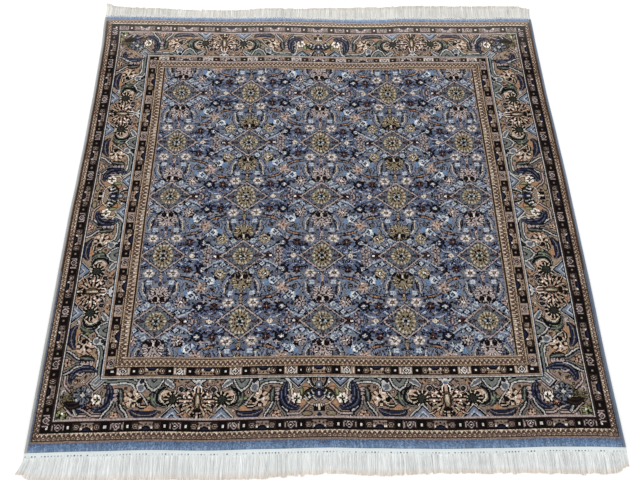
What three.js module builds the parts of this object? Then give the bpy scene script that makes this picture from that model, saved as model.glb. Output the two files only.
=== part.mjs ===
// A square indo herati rug that lies flat: knotted wool pile on a cotton ground.
//
// Millimetres, +Z up. X runs across the rug and +Y along its warps, to the far end. The origin is the
// middle of the rug's bounding box, on the floor that it lies on.
//
// Its pieces are the carpet, which is the pile with the ground that it is knotted on, an overcast
// selvedge cord along each side, and at each end a flat woven web of bare warps, whose loose warps
// run on as the fringe.

import * as THREE from 'three';
import { mergeVertices } from 'three/addons/utils/BufferGeometryUtils.js';

// Driving dimensions.
const RUG_WIDTH = 1500; // over both selvedges
const PILE_LENGTH = 1500; // from the first row of knots to the last
const CARPET_THICKNESS = 10; // ground and clipped pile together
const PILE_EDGE_FALL = 3; // how far the pile leans in at its cut edge
const PILE_EDGE_INSET = 2;
const SELVEDGE_WIDTH = 9;
const SELVEDGE_HEIGHT = 7;
const SELVEDGE_SIDES = 8;
const WEB_WIDTH = 13;
const WEB_THICKNESS = 2.4;
const LOCKS_PER_END = 130; // the fringe's warps, gathered into flat locks
const LOCK_ROOT_SHARE = 0.86; // of the space that a lock has along the web
const LOCK_MIDDLE_SHARE = 0.82;
const LOCK_TIP_SHARE = 0.72;
const LOCK_MIDDLE_HEIGHT = 2.2;
const LOCK_TIP_HEIGHT = 1.5;
const LOCK_MIDDLE_LEAN = 0.35; // share of the tip's lean that a lock has halfway out
const LOCK_SWAY = 0.35; // how far a lock's middle strays sideways
const LOCK_LENGTH_SCATTER = 2;
const PIECE_GAP = 0.3; // between pieces that lie edge to edge
const STEPS_ALONG_SIDE = 32;
const STEPS_ALONG_END = 100; // more than on a side, to follow the web within its gap

const HALF_WIDTH = RUG_WIDTH / 2;
const HALF_LENGTH = PILE_LENGTH / 2;
const GOLDEN_SHARE = 0.618034;

// How far each side stands out of its straight line, at shares of the half length.
const SIDE_WANDER = [
  { place: -1.0, left: 1.0, right: 0.0 },
  { place: -0.7, left: 0.5, right: -1.0 },
  { place: -0.35, left: 0.0, right: 2.0 },
  { place: -0.1, left: -0.5, right: 2.5 },
  { place: 0.1, left: -4.0, right: 3.0 },
  { place: 0.3, left: -6.5, right: 1.5 },
  { place: 0.55, left: -7.0, right: -1.5 },
  { place: 0.8, left: -5.5, right: -1.0 },
  { place: 1.0, left: 0.5, right: 1.0 },
];

// How far each end stands out of its straight line, at shares of the half width.
const END_WANDER = [
  { place: -1.0, near: 2.5, far: 9.0 },
  { place: -0.8, near: 0.0, far: 6.5 },
  { place: -0.6, near: -2.0, far: 3.0 },
  { place: -0.4, near: 1.0, far: 0.5 },
  { place: -0.2, near: -1.5, far: 3.5 },
  { place: 0.0, near: -3.5, far: -1.5 },
  { place: 0.15, near: -0.5, far: -5.0 },
  { place: 0.28, near: 1.5, far: -3.5 },
  { place: 0.4, near: 3.0, far: 2.5 },
  { place: 0.6, near: 2.0, far: 0.5 },
  { place: 0.75, near: 0.0, far: 1.0 },
  { place: 0.87, near: 1.0, far: 5.0 },
  { place: 1.0, near: 3.5, far: 4.5 },
];

// How far the fringe reaches out of the pile's edge, and how far its tips lean to the right.
const FRINGE = [
  { place: -1.0, nearReach: 52, farReach: 72, nearLean: -13, farLean: -4 },
  { place: -0.94, nearReach: 69, farReach: 58, nearLean: -7, farLean: -1 },
  { place: -0.8, nearReach: 73, farReach: 54, nearLean: -2, farLean: 0 },
  { place: -0.6, nearReach: 74, farReach: 48, nearLean: 1, farLean: 1 },
  { place: -0.4, nearReach: 72, farReach: 50, nearLean: 0, farLean: -1 },
  { place: -0.25, nearReach: 73, farReach: 58, nearLean: -1, farLean: 0 },
  { place: -0.1, nearReach: 67, farReach: 58, nearLean: 0, farLean: 2 },
  { place: 0.0, nearReach: 65, farReach: 65, nearLean: 1, farLean: 2 },
  { place: 0.2, nearReach: 68, farReach: 72, nearLean: -1, farLean: 1 },
  { place: 0.35, nearReach: 60, farReach: 71, nearLean: 2, farLean: 3 },
  { place: 0.55, nearReach: 62, farReach: 75, nearLean: 0, farLean: 2 },
  { place: 0.8, nearReach: 67, farReach: 73, nearLean: 0, farLean: 1 },
  { place: 0.94, nearReach: 66, farReach: 70, nearLean: -1, farLean: 2 },
  { place: 1.0, nearReach: 48, farReach: 58, nearLean: -2, farLean: 4 },
];

const WOOL_BLUE_GREY = new THREE.MeshStandardMaterial({ color: 0x5c6274, roughness: 0.95, metalness: 0 });
const OVERCAST_BLUE = new THREE.MeshStandardMaterial({ color: 0x74859c, roughness: 0.9, metalness: 0 });
const COTTON_WHITE = new THREE.MeshStandardMaterial({ color: 0xdcdad2, roughness: 0.9, metalness: 0 });

// Reads a column of a table of rows at a place from -1 to 1, easing from one row to the next.
function readTable(rows, column, place) {
  const next = rows.findIndex((row) => row.place >= place);
  if (next === 0) return rows[0][column];
  if (next < 0) return rows[rows.length - 1][column];
  const share = THREE.MathUtils.smoothstep(place, rows[next - 1].place, rows[next].place);
  return THREE.MathUtils.lerp(rows[next - 1][column], rows[next][column], share);
}

// The rug's outer edge at its left side (side -1) or right side (side 1).
function sideX(side, y) {
  return side * (HALF_WIDTH + readTable(SIDE_WANDER, side < 0 ? 'left' : 'right', y / HALF_LENGTH));
}

// The pile's edge at the near end (end -1) or far end (end 1).
function endY(end, x) {
  return end * (HALF_LENGTH + readTable(END_WANDER, end < 0 ? 'near' : 'far', x / HALF_WIDTH));
}

function solidFromCorners(corners) {
  const geometry = new THREE.BufferGeometry().setFromPoints(corners);
  const solid = mergeVertices(geometry);
  solid.computeVertexNormals();
  return solid;
}

// Joins rings of points into a closed solid. The rings turn anticlockwise seen from beyond the last
// one, and outline is a ring in the plane of the caps.
function loft(rings, outline) {
  const corners = [];
  const quad = (a, b, c, d) => corners.push(a, b, c, a, c, d);
  for (let k = 1; k < rings.length; k += 1) {
    const low = rings[k - 1];
    const high = rings[k];
    low.forEach((point, i) => {
      const next = (i + 1) % low.length;
      quad(point, low[next], high[next], high[i]);
    });
  }
  const first = rings[0];
  const last = rings[rings.length - 1];
  for (const [a, b, c] of THREE.ShapeUtils.triangulateShape(outline, [])) {
    corners.push(last[a], last[b], last[c]);
    corners.push(first[c], first[b], first[a]);
  }
  return solidFromCorners(corners);
}

// The carpet's outline at one height, drawn in by inset.
function carpetRing(z, inset) {
  const drawnIn = SELVEDGE_WIDTH + PIECE_GAP + inset;
  const edgeX = (side, y) => sideX(side, y) - side * drawnIn;
  const edgeY = (end, x) => endY(end, x) - end * inset;
  const cornerAt = (side, end) => {
    const y = edgeY(end, side * (HALF_WIDTH - drawnIn));
    return new THREE.Vector3(edgeX(side, y), y, z);
  };
  const corners = [cornerAt(-1, -1), cornerAt(1, -1), cornerAt(1, 1), cornerAt(-1, 1)];
  const ring = [];
  corners.forEach((corner, k) => {
    const next = corners[(k + 1) % corners.length];
    const isEnd = k % 2 === 0;
    const steps = isEnd ? STEPS_ALONG_END : STEPS_ALONG_SIDE;
    ring.push(corner);
    for (let i = 1; i < steps; i += 1) {
      const point = corner.clone().lerp(next, i / steps);
      if (isEnd) point.y = edgeY(Math.sign(point.y), point.x);
      else point.x = edgeX(Math.sign(point.x), point.y);
      ring.push(point);
    }
  });
  return ring;
}

function makeCarpet() {
  const rings = [
    carpetRing(0, 0),
    carpetRing(CARPET_THICKNESS - PILE_EDGE_FALL, 0),
    carpetRing(CARPET_THICKNESS, PILE_EDGE_INSET),
  ];
  const outline = rings[0].map((point) => new THREE.Vector2(point.x, point.y));
  return loft(rings, outline);
}

// A round cord with a flat foot, overcast along one side of the carpet.
function makeSelvedge(side) {
  const halfStep = Math.PI / SELVEDGE_SIDES;
  const section = [];
  for (let k = 0; k < SELVEDGE_SIDES; k += 1) {
    const angle = -halfStep * (2 * k + 1);
    const across = (SELVEDGE_WIDTH / 2) * (Math.cos(angle) / Math.cos(halfStep));
    const height = (SELVEDGE_HEIGHT / 2) * (1 + Math.sin(angle) / Math.cos(halfStep));
    section.push({ across, height });
  }
  const middleX = side * (HALF_WIDTH - SELVEDGE_WIDTH / 2);
  const nearY = endY(-1, middleX);
  const farY = endY(1, middleX);
  const rings = [];
  for (let i = 0; i <= STEPS_ALONG_SIDE; i += 1) {
    const y = THREE.MathUtils.lerp(nearY, farY, i / STEPS_ALONG_SIDE);
    const x = sideX(side, y) - (side * SELVEDGE_WIDTH) / 2;
    rings.push(section.map((point) => new THREE.Vector3(x + point.across, y, point.height)));
  }
  const outline = section.map((point) => new THREE.Vector2(point.height, point.across));
  return loft(rings, outline);
}

// The bare web at one end, with the fringe fused to its outer edge. Posts are upright edges that
// stand on the floor: walls join them side to side, and decks cover them above and below.
function makeWebWithFringe(end) {
  const corners = [];
  const quad = (a, b, c, d) => corners.push(a, b, c, a, c, d);
  const wall = (from, to) => quad(from.low, to.low, to.high, from.high);
  const deck = (a, b, c, d) => {
    quad(a.high, b.high, c.high, d.high);
    quad(d.low, c.low, b.low, a.low);
  };
  const post = (along, out, height) => {
    const x = -end * along;
    const y = end * out;
    return { low: new THREE.Vector3(x, y, 0), high: new THREE.Vector3(x, y, height) };
  };
  const pileEdge = (along) => end * endY(end, -end * along);
  const name = end < 0 ? 'near' : 'far';
  const first = -end * sideX(end, end * HALF_LENGTH);
  const last = -end * sideX(-end, end * HALF_LENGTH);
  const pitch = (last - first) / LOCKS_PER_END;

  const stationAt = (along) => {
    const edge = pileEdge(along);
    return {
      back: post(along, edge + PIECE_GAP, WEB_THICKNESS),
      front: post(along, edge + PIECE_GAP + WEB_WIDTH, WEB_THICKNESS),
    };
  };
  const addWeb = (from, to) => {
    deck(from.front, to.front, to.back, from.back);
    wall(to.back, from.back);
  };
  const addLock = (number, middle, from, to) => {
    const scatter = 2 * ((number * GOLDEN_SHARE) % 1) - 1;
    const place = (-end * middle) / HALF_WIDTH;
    const root = pileEdge(middle) + PIECE_GAP + WEB_WIDTH;
    const reach = readTable(FRINGE, `${name}Reach`, place) + LOCK_LENGTH_SCATTER * scatter;
    const tip = pileEdge(middle) + reach;
    const lean = -end * readTable(FRINGE, `${name}Lean`, place);
    const pairAt = (along, out, share, height) => [
      post(along - (share * pitch) / 2, out, height),
      post(along + (share * pitch) / 2, out, height),
    ];
    const halfway = middle + LOCK_MIDDLE_LEAN * lean + LOCK_SWAY * scatter;
    const pairs = [
      [from.front, to.front],
      pairAt(halfway, (root + tip) / 2, LOCK_MIDDLE_SHARE, LOCK_MIDDLE_HEIGHT),
      pairAt(middle + lean, tip, LOCK_TIP_SHARE, LOCK_TIP_HEIGHT),
    ];
    for (let k = 1; k < pairs.length; k += 1) {
      const [innerLeft, innerRight] = pairs[k - 1];
      const [outerLeft, outerRight] = pairs[k];
      deck(outerLeft, outerRight, innerRight, innerLeft);
      wall(innerLeft, outerLeft);
      wall(outerRight, innerRight);
    }
    wall(...pairs[pairs.length - 1]);
  };

  let previous = stationAt(first);
  wall(previous.back, previous.front);
  for (let k = 0; k < LOCKS_PER_END; k += 1) {
    const middle = first + pitch * (k + 0.5);
    const left = stationAt(middle - (LOCK_ROOT_SHARE * pitch) / 2);
    const right = stationAt(middle + (LOCK_ROOT_SHARE * pitch) / 2);
    addWeb(previous, left);
    wall(previous.front, left.front);
    addWeb(left, right);
    addLock(k, middle, left, right);
    previous = right;
  }
  const edge = stationAt(last);
  addWeb(previous, edge);
  wall(previous.front, edge.front);
  wall(edge.front, edge.back);
  return solidFromCorners(corners);
}

function addPiece(group, name, geometry, material) {
  const piece = new THREE.Mesh(geometry, material);
  piece.name = name;
  group.add(piece);
}

// The pieces, and the origin moved to the middle of their bounding box.
const rug = new THREE.Group();
addPiece(rug, 'carpet', makeCarpet(), WOOL_BLUE_GREY);
addPiece(rug, 'selvedge_left', makeSelvedge(-1), OVERCAST_BLUE);
addPiece(rug, 'selvedge_right', makeSelvedge(1), OVERCAST_BLUE);
addPiece(rug, 'fringe_near', makeWebWithFringe(-1), COTTON_WHITE);
addPiece(rug, 'fringe_far', makeWebWithFringe(1), COTTON_WHITE);

const middle = new THREE.Box3().setFromObject(rug).getCenter(new THREE.Vector3());
rug.position.set(-middle.x, -middle.y, 0);

export default rug;
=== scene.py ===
"""Looks of a square hand-knotted rug: knotted pile, overcast selvedges, woven webs and fringes.

Metres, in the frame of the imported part. X runs across the rug and Y along its warps to the far end.
The design is a chart of knots, drawn below as a carpet designer draws it on squared paper: one
quarter, which is turned over along both middle lines.
"""

import functools
import math

import bpy
import numpy as np
from bpy.props import FloatProperty, FloatVectorProperty, IntProperty, PointerProperty
from mathutils import Matrix, Vector


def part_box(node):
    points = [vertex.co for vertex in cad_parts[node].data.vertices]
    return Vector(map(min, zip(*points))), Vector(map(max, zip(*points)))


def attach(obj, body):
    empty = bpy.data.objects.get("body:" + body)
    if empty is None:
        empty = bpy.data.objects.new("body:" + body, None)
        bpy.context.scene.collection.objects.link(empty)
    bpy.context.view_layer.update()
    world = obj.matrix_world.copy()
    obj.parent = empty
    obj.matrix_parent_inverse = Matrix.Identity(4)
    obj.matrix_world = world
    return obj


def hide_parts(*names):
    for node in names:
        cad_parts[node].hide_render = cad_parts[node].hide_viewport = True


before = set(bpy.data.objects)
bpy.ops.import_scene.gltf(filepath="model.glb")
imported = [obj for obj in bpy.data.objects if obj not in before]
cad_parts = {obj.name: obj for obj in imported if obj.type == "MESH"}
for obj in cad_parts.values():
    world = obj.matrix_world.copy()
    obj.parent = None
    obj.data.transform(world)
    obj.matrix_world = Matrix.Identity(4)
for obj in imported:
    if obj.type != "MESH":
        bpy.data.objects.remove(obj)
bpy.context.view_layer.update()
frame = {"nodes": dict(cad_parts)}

bl_info = {
    "name": "Indo herati rug",
    "version": (1, 0, 0),
    "blender": (4, 5, 0),
    "location": "3D View > Sidebar > Rug",
    "description": "Knots the pile and makes the selvedges, webs and fringes of a square rug",
    "category": "Object",
}

MM = 0.001

# The rug as the part's source gives it, in millimetres.
HALF_SIDE = 750.0
CARPET_THICKNESS = 10.0
SELVEDGE_WIDTH = 9.0
SELVEDGE_HEIGHT = 7.0
WEB_WIDTH = 13.0
WEB_THICKNESS = 2.4
PIECE_GAP = 0.3

# The sides and ends by number, which way each lies from the middle, and their names.
LEFT, RIGHT = NEAR, FAR = 0, 1
SIGNS = (-1, 1)
SIDE_NAMES, END_NAMES = ("left", "right"), ("near", "far")

# How far each side stands out of its straight line: place along it, left, right.
SIDE_WANDER = (
    (-1.0, 1.0, 0.0),
    (-0.7, 0.5, -1.0),
    (-0.35, 0.0, 2.0),
    (-0.1, -0.5, 2.5),
    (0.1, -4.0, 3.0),
    (0.3, -6.5, 1.5),
    (0.55, -7.0, -1.5),
    (0.8, -5.5, -1.0),
    (1.0, 0.5, 1.0),
)

# How far each end stands out of its straight line: place along it, near, far.
END_WANDER = (
    (-1.0, 2.5, 9.0),
    (-0.8, 0.0, 6.5),
    (-0.6, -2.0, 3.0),
    (-0.4, 1.0, 0.5),
    (-0.2, -1.5, 3.5),
    (0.0, -3.5, -1.5),
    (0.15, -0.5, -5.0),
    (0.28, 1.5, -3.5),
    (0.4, 3.0, 2.5),
    (0.6, 2.0, 0.5),
    (0.75, 0.0, 1.0),
    (0.87, 1.0, 5.0),
    (1.0, 3.5, 4.5),
)

# How far the fringe reaches out of the pile, and its tips lean to the right:
# place along the end, near reach, far reach, near lean, far lean.
FRINGE = (
    (-1.0, 52, 72, -13, -4),
    (-0.94, 69, 58, -7, -1),
    (-0.8, 73, 54, -2, 0),
    (-0.6, 74, 48, 1, 1),
    (-0.4, 72, 50, 0, -1),
    (-0.25, 73, 58, -1, 0),
    (-0.1, 67, 58, 0, 2),
    (0.0, 65, 65, 1, 2),
    (0.2, 68, 72, -1, 1),
    (0.35, 60, 71, 2, 3),
    (0.55, 62, 75, 0, 2),
    (0.8, 67, 73, 0, 1),
    (0.94, 66, 70, -1, 2),
    (1.0, 48, 58, -2, 4),
)


def read_table(rows, column, place):
    """A column of a table at places from -1 to 1, easing from one row to the next."""
    place = np.asarray(place, float)
    stops = np.array([row[0] for row in rows])
    values = np.array([row[1 + column] for row in rows], float)
    after = np.clip(np.searchsorted(stops, place), 1, len(stops) - 1)
    share = np.clip((place - stops[after - 1]) / (stops[after] - stops[after - 1]), 0, 1)
    share = share * share * (3 - 2 * share)
    return values[after - 1] + (values[after] - values[after - 1]) * share


def side_x(side, y):
    """The rug's outer edge at its left or right side, in millimetres from the pile's middle."""
    return SIGNS[side] * (HALF_SIDE + read_table(SIDE_WANDER, side, np.asarray(y) / HALF_SIDE))


def end_y(end, x):
    """The pile's edge at the near or far end, in millimetres from the pile's middle."""
    return SIGNS[end] * (HALF_SIDE + read_table(END_WANDER, end, np.asarray(x) / HALF_SIDE))


def end_corners(end):
    """The places of an end's corners across the rug, in millimetres from the pile's middle."""
    return [float(side_x(side, SIGNS[end] * HALF_SIDE)) for side in (LEFT, RIGHT)]


def pile_middle():
    """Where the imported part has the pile's middle, in metres."""
    right_wander = max(row[2] for row in SIDE_WANDER)
    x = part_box("selvedge_right")[1][0] - (HALF_SIDE + right_wander) * MM
    cord_middle = -(HALF_SIDE - SELVEDGE_WIDTH / 2)
    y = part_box("selvedge_left")[0][1] - float(end_y(NEAR, cord_middle)) * MM
    return Vector((x, y, 0))


PILE_MIDDLE = pile_middle()


# The dyed wools, as seen on screen.
WOOLS = {
    "slate": (108, 116, 132),
    "denim": (80, 91, 116),
    "navy": (30, 33, 56),
    "soot": (14, 10, 10),
    "ice": (166, 172, 181),
    "ivory": (222, 214, 206),
    "fawn": (137, 117, 101),
    "sand": (186, 171, 151),
    "gold": (125, 113, 93),
    "olive": (94, 86, 64),
    "salmon": (174, 145, 128),
    "rust": (72, 50, 52),
    "sage": (104, 108, 104),
    "moss": (46, 50, 44),
    "brown": (74, 54, 42),
    "sky": (94, 118, 148),
    "mouse": (104, 98, 98),
    "umber": (42, 31, 27),
    "rose": (155, 141, 139),
    "copper": (152, 117, 91),
    "leaf": (124, 128, 92),
    "steel": (87, 94, 108),
    "haze": (120, 138, 162),
    "pearl": (172, 170, 167),
    "lead": (90, 92, 97),
    "ink": (28, 25, 34),
    "cream": (200, 192, 186),
    "dusk": (121, 105, 96),
}
NUMBER = {name: number for number, name in enumerate(WOOLS)}

# The width and height of a knot, and the knots from the rug's middle outwards.
KNOT_X, KNOT_Y = 2.52, 2.4834
HALF_COLUMNS, HALF_ROWS = 294, 302

# A quarter of the field's repeat, in knots.
PITCH_COLUMNS, PITCH_ROWS = 90, 82

# Each face of the pile carries so many knots by so many, each as a wool's number below WOOL_STEPS.
KNOTS_PER_FACE = 4
WOOL_STEPS = 32
FACE_COLUMNS = 2 * HALF_COLUMNS // KNOTS_PER_FACE
FACE_ROWS = 2 * HALF_ROWS // KNOTS_PER_FACE

# The width of a line one knot wide, and how full leaves and blades are between their tips.
FINE = 2.6
LEAF_FULLNESS, BLADE_FULLNESS = 0.75, 0.6


def worked(shape):
    """Turns a method that finds the knots under a shape into one that works them in a wool."""
    @functools.wraps(shape)
    def work(chart, wool, *sizes, **turn):
        chart.fill(shape(chart, *sizes, **turn), wool)
    return work


class Chart:
    """Squared paper for knots. x and y are each knot's place in millimetres from the chart's origin."""

    def __init__(self, x, y, knots, within=True):
        self.x, self.y, self.knots, self.within = x, y, knots, within

    @classmethod
    def blank(cls, columns, rows, wool):
        x = (np.arange(columns) + 0.5) * KNOT_X
        y = (np.arange(rows) + 0.5) * KNOT_Y
        x, y = np.meshgrid(x, y)
        return cls(x, y, np.full(x.shape, NUMBER[wool], np.int64))

    def at(self, x, y, turn=0.0, flip=False):
        """The same paper with its origin at x, y, turned by so many degrees."""
        c, s = math.cos(math.radians(turn)), math.sin(math.radians(turn))
        dx, dy = self.x - x, self.y - y
        u, v = dx * c + dy * s, dy * c - dx * s
        return Chart(-u if flip else u, v, self.knots, self.within)

    def sides(self):
        """The same paper twice, mirrored left to right and as it is."""
        return self.at(0, 0, flip=True), self

    def strip(self, start, end, inwards=False):
        """The paper between two heights. Its y starts at the first, or inwards from the second."""
        y = end - self.y if inwards else self.y - start
        return Chart(self.x, y, self.knots, (y >= 0) & (y < end - start))

    def cut(self, row, column, end_row=None, end_column=None):
        """Part of the sheet. What is drawn on it is drawn on the whole."""
        part = np.s_[max(row, 0) : end_row, max(column, 0) : end_column]
        return Chart(self.x[part], self.y[part], self.knots[part])

    def fill(self, mask, wool):
        self.knots[mask & self.within] = NUMBER[wool]

    @worked
    def oval(self, rx, ry=None):
        return (self.x / rx) ** 2 + (self.y / (ry or rx)) ** 2 <= 1

    @worked
    def box(self, x0, y0, x1, y1):
        return (self.x >= x0) & (self.x < x1) & (self.y >= y0) & (self.y < y1)

    @worked
    def stripe(self, y0, y1):
        return (self.y >= y0) & (self.y < y1)

    @worked
    def lozenge(self, rx, ry):
        return abs(self.x) / rx + abs(self.y) / ry <= 1

    @worked
    def flower(self, r, petals, depth, squash=1.0, start=0.0):
        """A round flower whose rim is cut in between its petals."""
        y = self.y / squash
        angle = np.arctan2(y, self.x) - math.radians(start)
        rim = r * (1 - depth * (0.5 - 0.5 * np.cos(petals * angle)))
        return np.hypot(self.x, y) <= rim

    @worked
    def rays(self, r0, r1, petals, width, squash=1.0, start=0.0):
        """Narrow petals between two radii, each so many millimetres wide."""
        y = self.y / squash
        radius = np.hypot(self.x, y)
        pitch = 2 * math.pi / petals
        angle = (np.arctan2(y, self.x) - math.radians(start)) % pitch
        away = abs(angle - pitch / 2) - pitch / 2
        return (radius >= r0) & (radius <= r1) & (abs(away) * radius <= width / 2)

    @worked
    def leaf(self, x0, y0, x1, y1, width, bend=0.0):
        """A leaf from one point to another, bowed sideways by bend."""
        length = math.hypot(x1 - x0, y1 - y0)
        ux, uy = (x1 - x0) / length, (y1 - y0) / length
        t = ((self.x - x0) * ux + (self.y - y0) * uy) / length
        n = (self.y - y0) * ux - (self.x - x0) * uy
        inside = (t > 0) & (t < 1)
        swell = np.sin(np.pi * np.clip(t, 0, 1)) ** LEAF_FULLNESS
        return inside & (abs(n - 4 * bend * t * (1 - t)) <= width / 2 * swell)

    @worked
    def polygon(self, points):
        inside = np.zeros(self.x.shape, bool)
        for (x0, y0), (x1, y1) in zip(points, points[1:] + points[:1]):
            if y0 == y1:
                continue
            cross = (self.y < y0) != (self.y < y1)
            inside ^= cross & (self.x < x0 + (self.y - y0) * (x1 - x0) / (y1 - y0))
        return inside

    @worked
    def stroke(self, points, width):
        """Straight lines of even width from point to point."""
        return self.trail(points)[0] <= width / 2

    def trail(self, points):
        """How far each knot is from a line through the points, and where along it."""
        near = np.full(self.x.shape, np.inf)
        along = np.zeros(self.x.shape)
        for number, ((x0, y0), (x1, y1)) in enumerate(zip(points, points[1:])):
            dx, dy = x1 - x0, y1 - y0
            t = np.clip(((self.x - x0) * dx + (self.y - y0) * dy) / (dx * dx + dy * dy), 0, 1)
            away = np.hypot(self.x - x0 - t * dx, self.y - y0 - t * dy)
            closer = away < near
            near = np.where(closer, away, near)
            along = np.where(closer, (number + t) / (len(points) - 1), along)
        return near, along

    def line(self, points, *layers):
        """A curved line in layers of width and wool."""
        away = self.trail(smooth(points))[0]
        for width, wool in layers:
            self.fill(away <= width / 2, wool)

    def blade(self, points, *layers):
        """A curved leaf in layers of width and wool."""
        away, along = self.trail(smooth(points))
        swell = np.sin(np.pi * along) ** BLADE_FULLNESS
        for width, wool in layers:
            self.fill(away <= width / 2 * swell, wool)

    def spots(self, wool, *places):
        """Round or oval spots, each x, y and its radii."""
        for x, y, *radii in places:
            self.at(x, y).oval(wool, *radii)


def smooth(points, steps=5):
    """A curve through the points, in so many steps from each to the next."""
    p = np.array([points[0], *points, points[-1]], float)
    out = []
    for k in range(1, len(p) - 2):
        a, b, c, d = p[k - 1 : k + 3]
        for i in range(steps):
            t = i / steps
            bent = 2 * b + (c - a) * t + (2 * a - 5 * b + 4 * c - d) * t * t
            bent += (3 * b - a - 3 * c + d) * t ** 3
            out.append(tuple(0.5 * bent))
    out.append(tuple(p[-1]))
    return out


# Small motifs that fill the ground between the large ones, and how many knots they reach.
SOWN_REACH = 4


def sprig(c, outline, wool):
    c.leaf(outline, -6, 0, 6, 0, 7.5, 1.5)
    c.leaf(wool, -4, 0, 4, 0, 4, 1.5)


def bud(c, outline, wool):
    c.oval(outline, 4.6)
    c.oval(wool, 2.3)


def hook(c, outline, wool):
    c.stroke(wool, [(-6, -2), (-2, 2), (3, 2), (6, -2)], 3)
    c.stroke(outline, [(-5, -5), (-1, -1.5), (3, -1.5)], FINE)


def cross(c, outline, wool):
    c.flower(outline, 6, 4, 0.5)
    c.flower(wool, 4.6, 4, 0.7)


def sow(c, grounds, motifs, tries, seed, room):
    """Sows small motifs wherever there is still room on the bare ground."""
    rng = np.random.default_rng(seed)
    bare = np.zeros(len(WOOLS), bool)
    bare[[NUMBER[name] for name in grounds]] = True
    rows, columns = c.knots.shape
    places = rng.integers((rows, columns), size=(tries, 2))
    chances = rng.uniform(0, 1, (tries, 2))
    for (row, column), (pick, turn) in zip(places, chances):
        if not bare[c.knots[row, column]]:
            continue
        here = c.cut(row - SOWN_REACH, column - SOWN_REACH, row + SOWN_REACH + 1, column + SOWN_REACH + 1)
        here = here.at(c.x[row, column], c.y[row, column])
        if not bare[here.knots[(here.x / room) ** 2 + (here.y / room) ** 2 <= 1]].all():
            continue
        draw, outline, wool = motifs[int(pick * len(motifs))]
        draw(here.at(0, 0, turn=360 * turn), outline, wool)


# Field

def medallion(c, height):
    """The lozenge with its gold flower. The flower is as tall as height."""
    for reach, wool in ((70, "soot"), (66, "rose"), (59.5, "soot"), (56, "lead")):
        c.lozenge(wool, reach, reach * 0.816)
    for side in (-1, 1):
        c.leaf("ink", side * 24, 0, side * 54, 0, 8)
        c.leaf("rust", side * 34, 0, side * 50, 0, 3.4)
        c.leaf("ink", 0, side * 20, 0, side * 43, 8)
        c.leaf("rust", 0, side * 27, 0, side * 42, 3.4)
        for x, y in ((39, 8), (32, 15), (24, 21), (13, 30)):
            for mirror in (-1, 1):
                c.spots("steel", (side * x, mirror * y, 3.2))
                c.spots("soot", (side * (x + 5), mirror * (y - 2), 2))
    squash = height / 27
    c.flower("ink", 32, 16, 0.1, squash)
    c.flower("sage", 30.5, 16, 0.12, squash)
    c.flower("gold", 28, 16, 0.12, squash)
    c.rays("sand", 21, 27, 16, 2.8, squash)
    c.rays("umber", 17, 24, 16, FINE, squash, start=11)
    c.flower("soot", 17, 9, 0.2, (1 + squash) / 2)
    c.rays("gold", 11, 17, 9, FINE, (1 + squash) / 2, start=20)
    c.rays("ice", 4, 11, 6, FINE)
    c.rays("olive", 6, 13, 6, FINE, start=30)
    c.spots("ivory", (0, 0, 1.6))


def rosette(c, r, petals, petal, heart, edge):
    c.flower(edge, r + FINE, petals, 0.15)
    c.flower(petal, r, petals, 0.35)
    c.flower(edge, r * 0.45, 4, 0.2)
    c.oval(heart, r * 0.24)


def cream_rosette(c):
    c.flower("steel", 20, 6, 0.1, 0.84)
    c.flower("rose", 17.5, 6, 0.14, 0.84)
    c.flower("cream", 14, 6, 0.2, 0.84)
    c.rays("mouse", 6, 17, 6, FINE, 0.84, start=30)
    c.oval("ink", 7, 5)
    c.oval("gold", 4, 2.6)


def dark_rosette(c):
    c.flower("soot", 14, 8, 0.25)
    c.flower("rust", 11.5, 8, 0.3)
    c.rays("soot", 4, 11, 4, FINE, start=45)
    c.oval("soot", 3.2)
    c.oval("rose", 1.6)


def night_flower(c):
    """A dark flower on a patch of blue, with a pale cross at its heart."""
    c.lozenge("denim", 24, 17)
    c.flower("soot", 18, 4, 0.2, 0.86)
    c.flower("navy", 13, 4, 0.4, 0.9, start=45)
    c.flower("pearl", 7.4, 4, 0.45)
    c.spots("ivory", (0, 0, 2.6))
    c.spots("olive", (0, 0, 1.6))


def palmette(c, petal, inner, edge):
    """The big palmette on a lozenge's tip. It opens upwards, and y is 0 at the tip."""
    for half in c.sides():
        half.leaf("soot", 3, 6, 26, 31, 24, -4)
        half.leaf("denim", 12, 12, 27, 30, 8, -2)
    crown, heart = c.at(0, 33), c.at(0, 38)
    for reach, wool in ((36, "ink"), (33, petal), (29.4, "soot")):
        crown.flower(wool, reach, 9, 0.3, 0.82, start=90)
    crown.rays(petal, 13, 31, 9, 4.6, 0.82, start=90)
    crown.rays(inner, 16, 28, 9, 2.8, 0.82, start=110)
    heart.flower(petal, 11, 5, 0.25, 0.8, start=90)
    heart.oval(edge, 4, 3.4)
    for half in c.sides():
        half.spots(petal, (9.6, 17, 10, 12.6))
        half.spots("soot", (9.6, 16.5, 7.8, 10.2))
        half.spots(edge, (12, 11, 1.8))
    c.spots("cream", (0, 19, 2.4, 6))
    c.stroke("rose", [(0, -3), (0, 9)], 5.4)
    c.leaf("soot", 0, 55, 0, 74, 9)
    c.leaf(edge, 0, 56, 0, 72, 5)


def finial(c, wool):
    c.stroke("ink", [(0, -16), (0, 14)], 7.5)
    c.stroke("salmon", [(0, -14), (0, 14)], 3.5)
    c.flower("soot", 9.5, 5, 0.25, start=90)
    c.flower(wool, 7, 5, 0.3, start=90)
    c.oval("dusk", 2.2)


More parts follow.
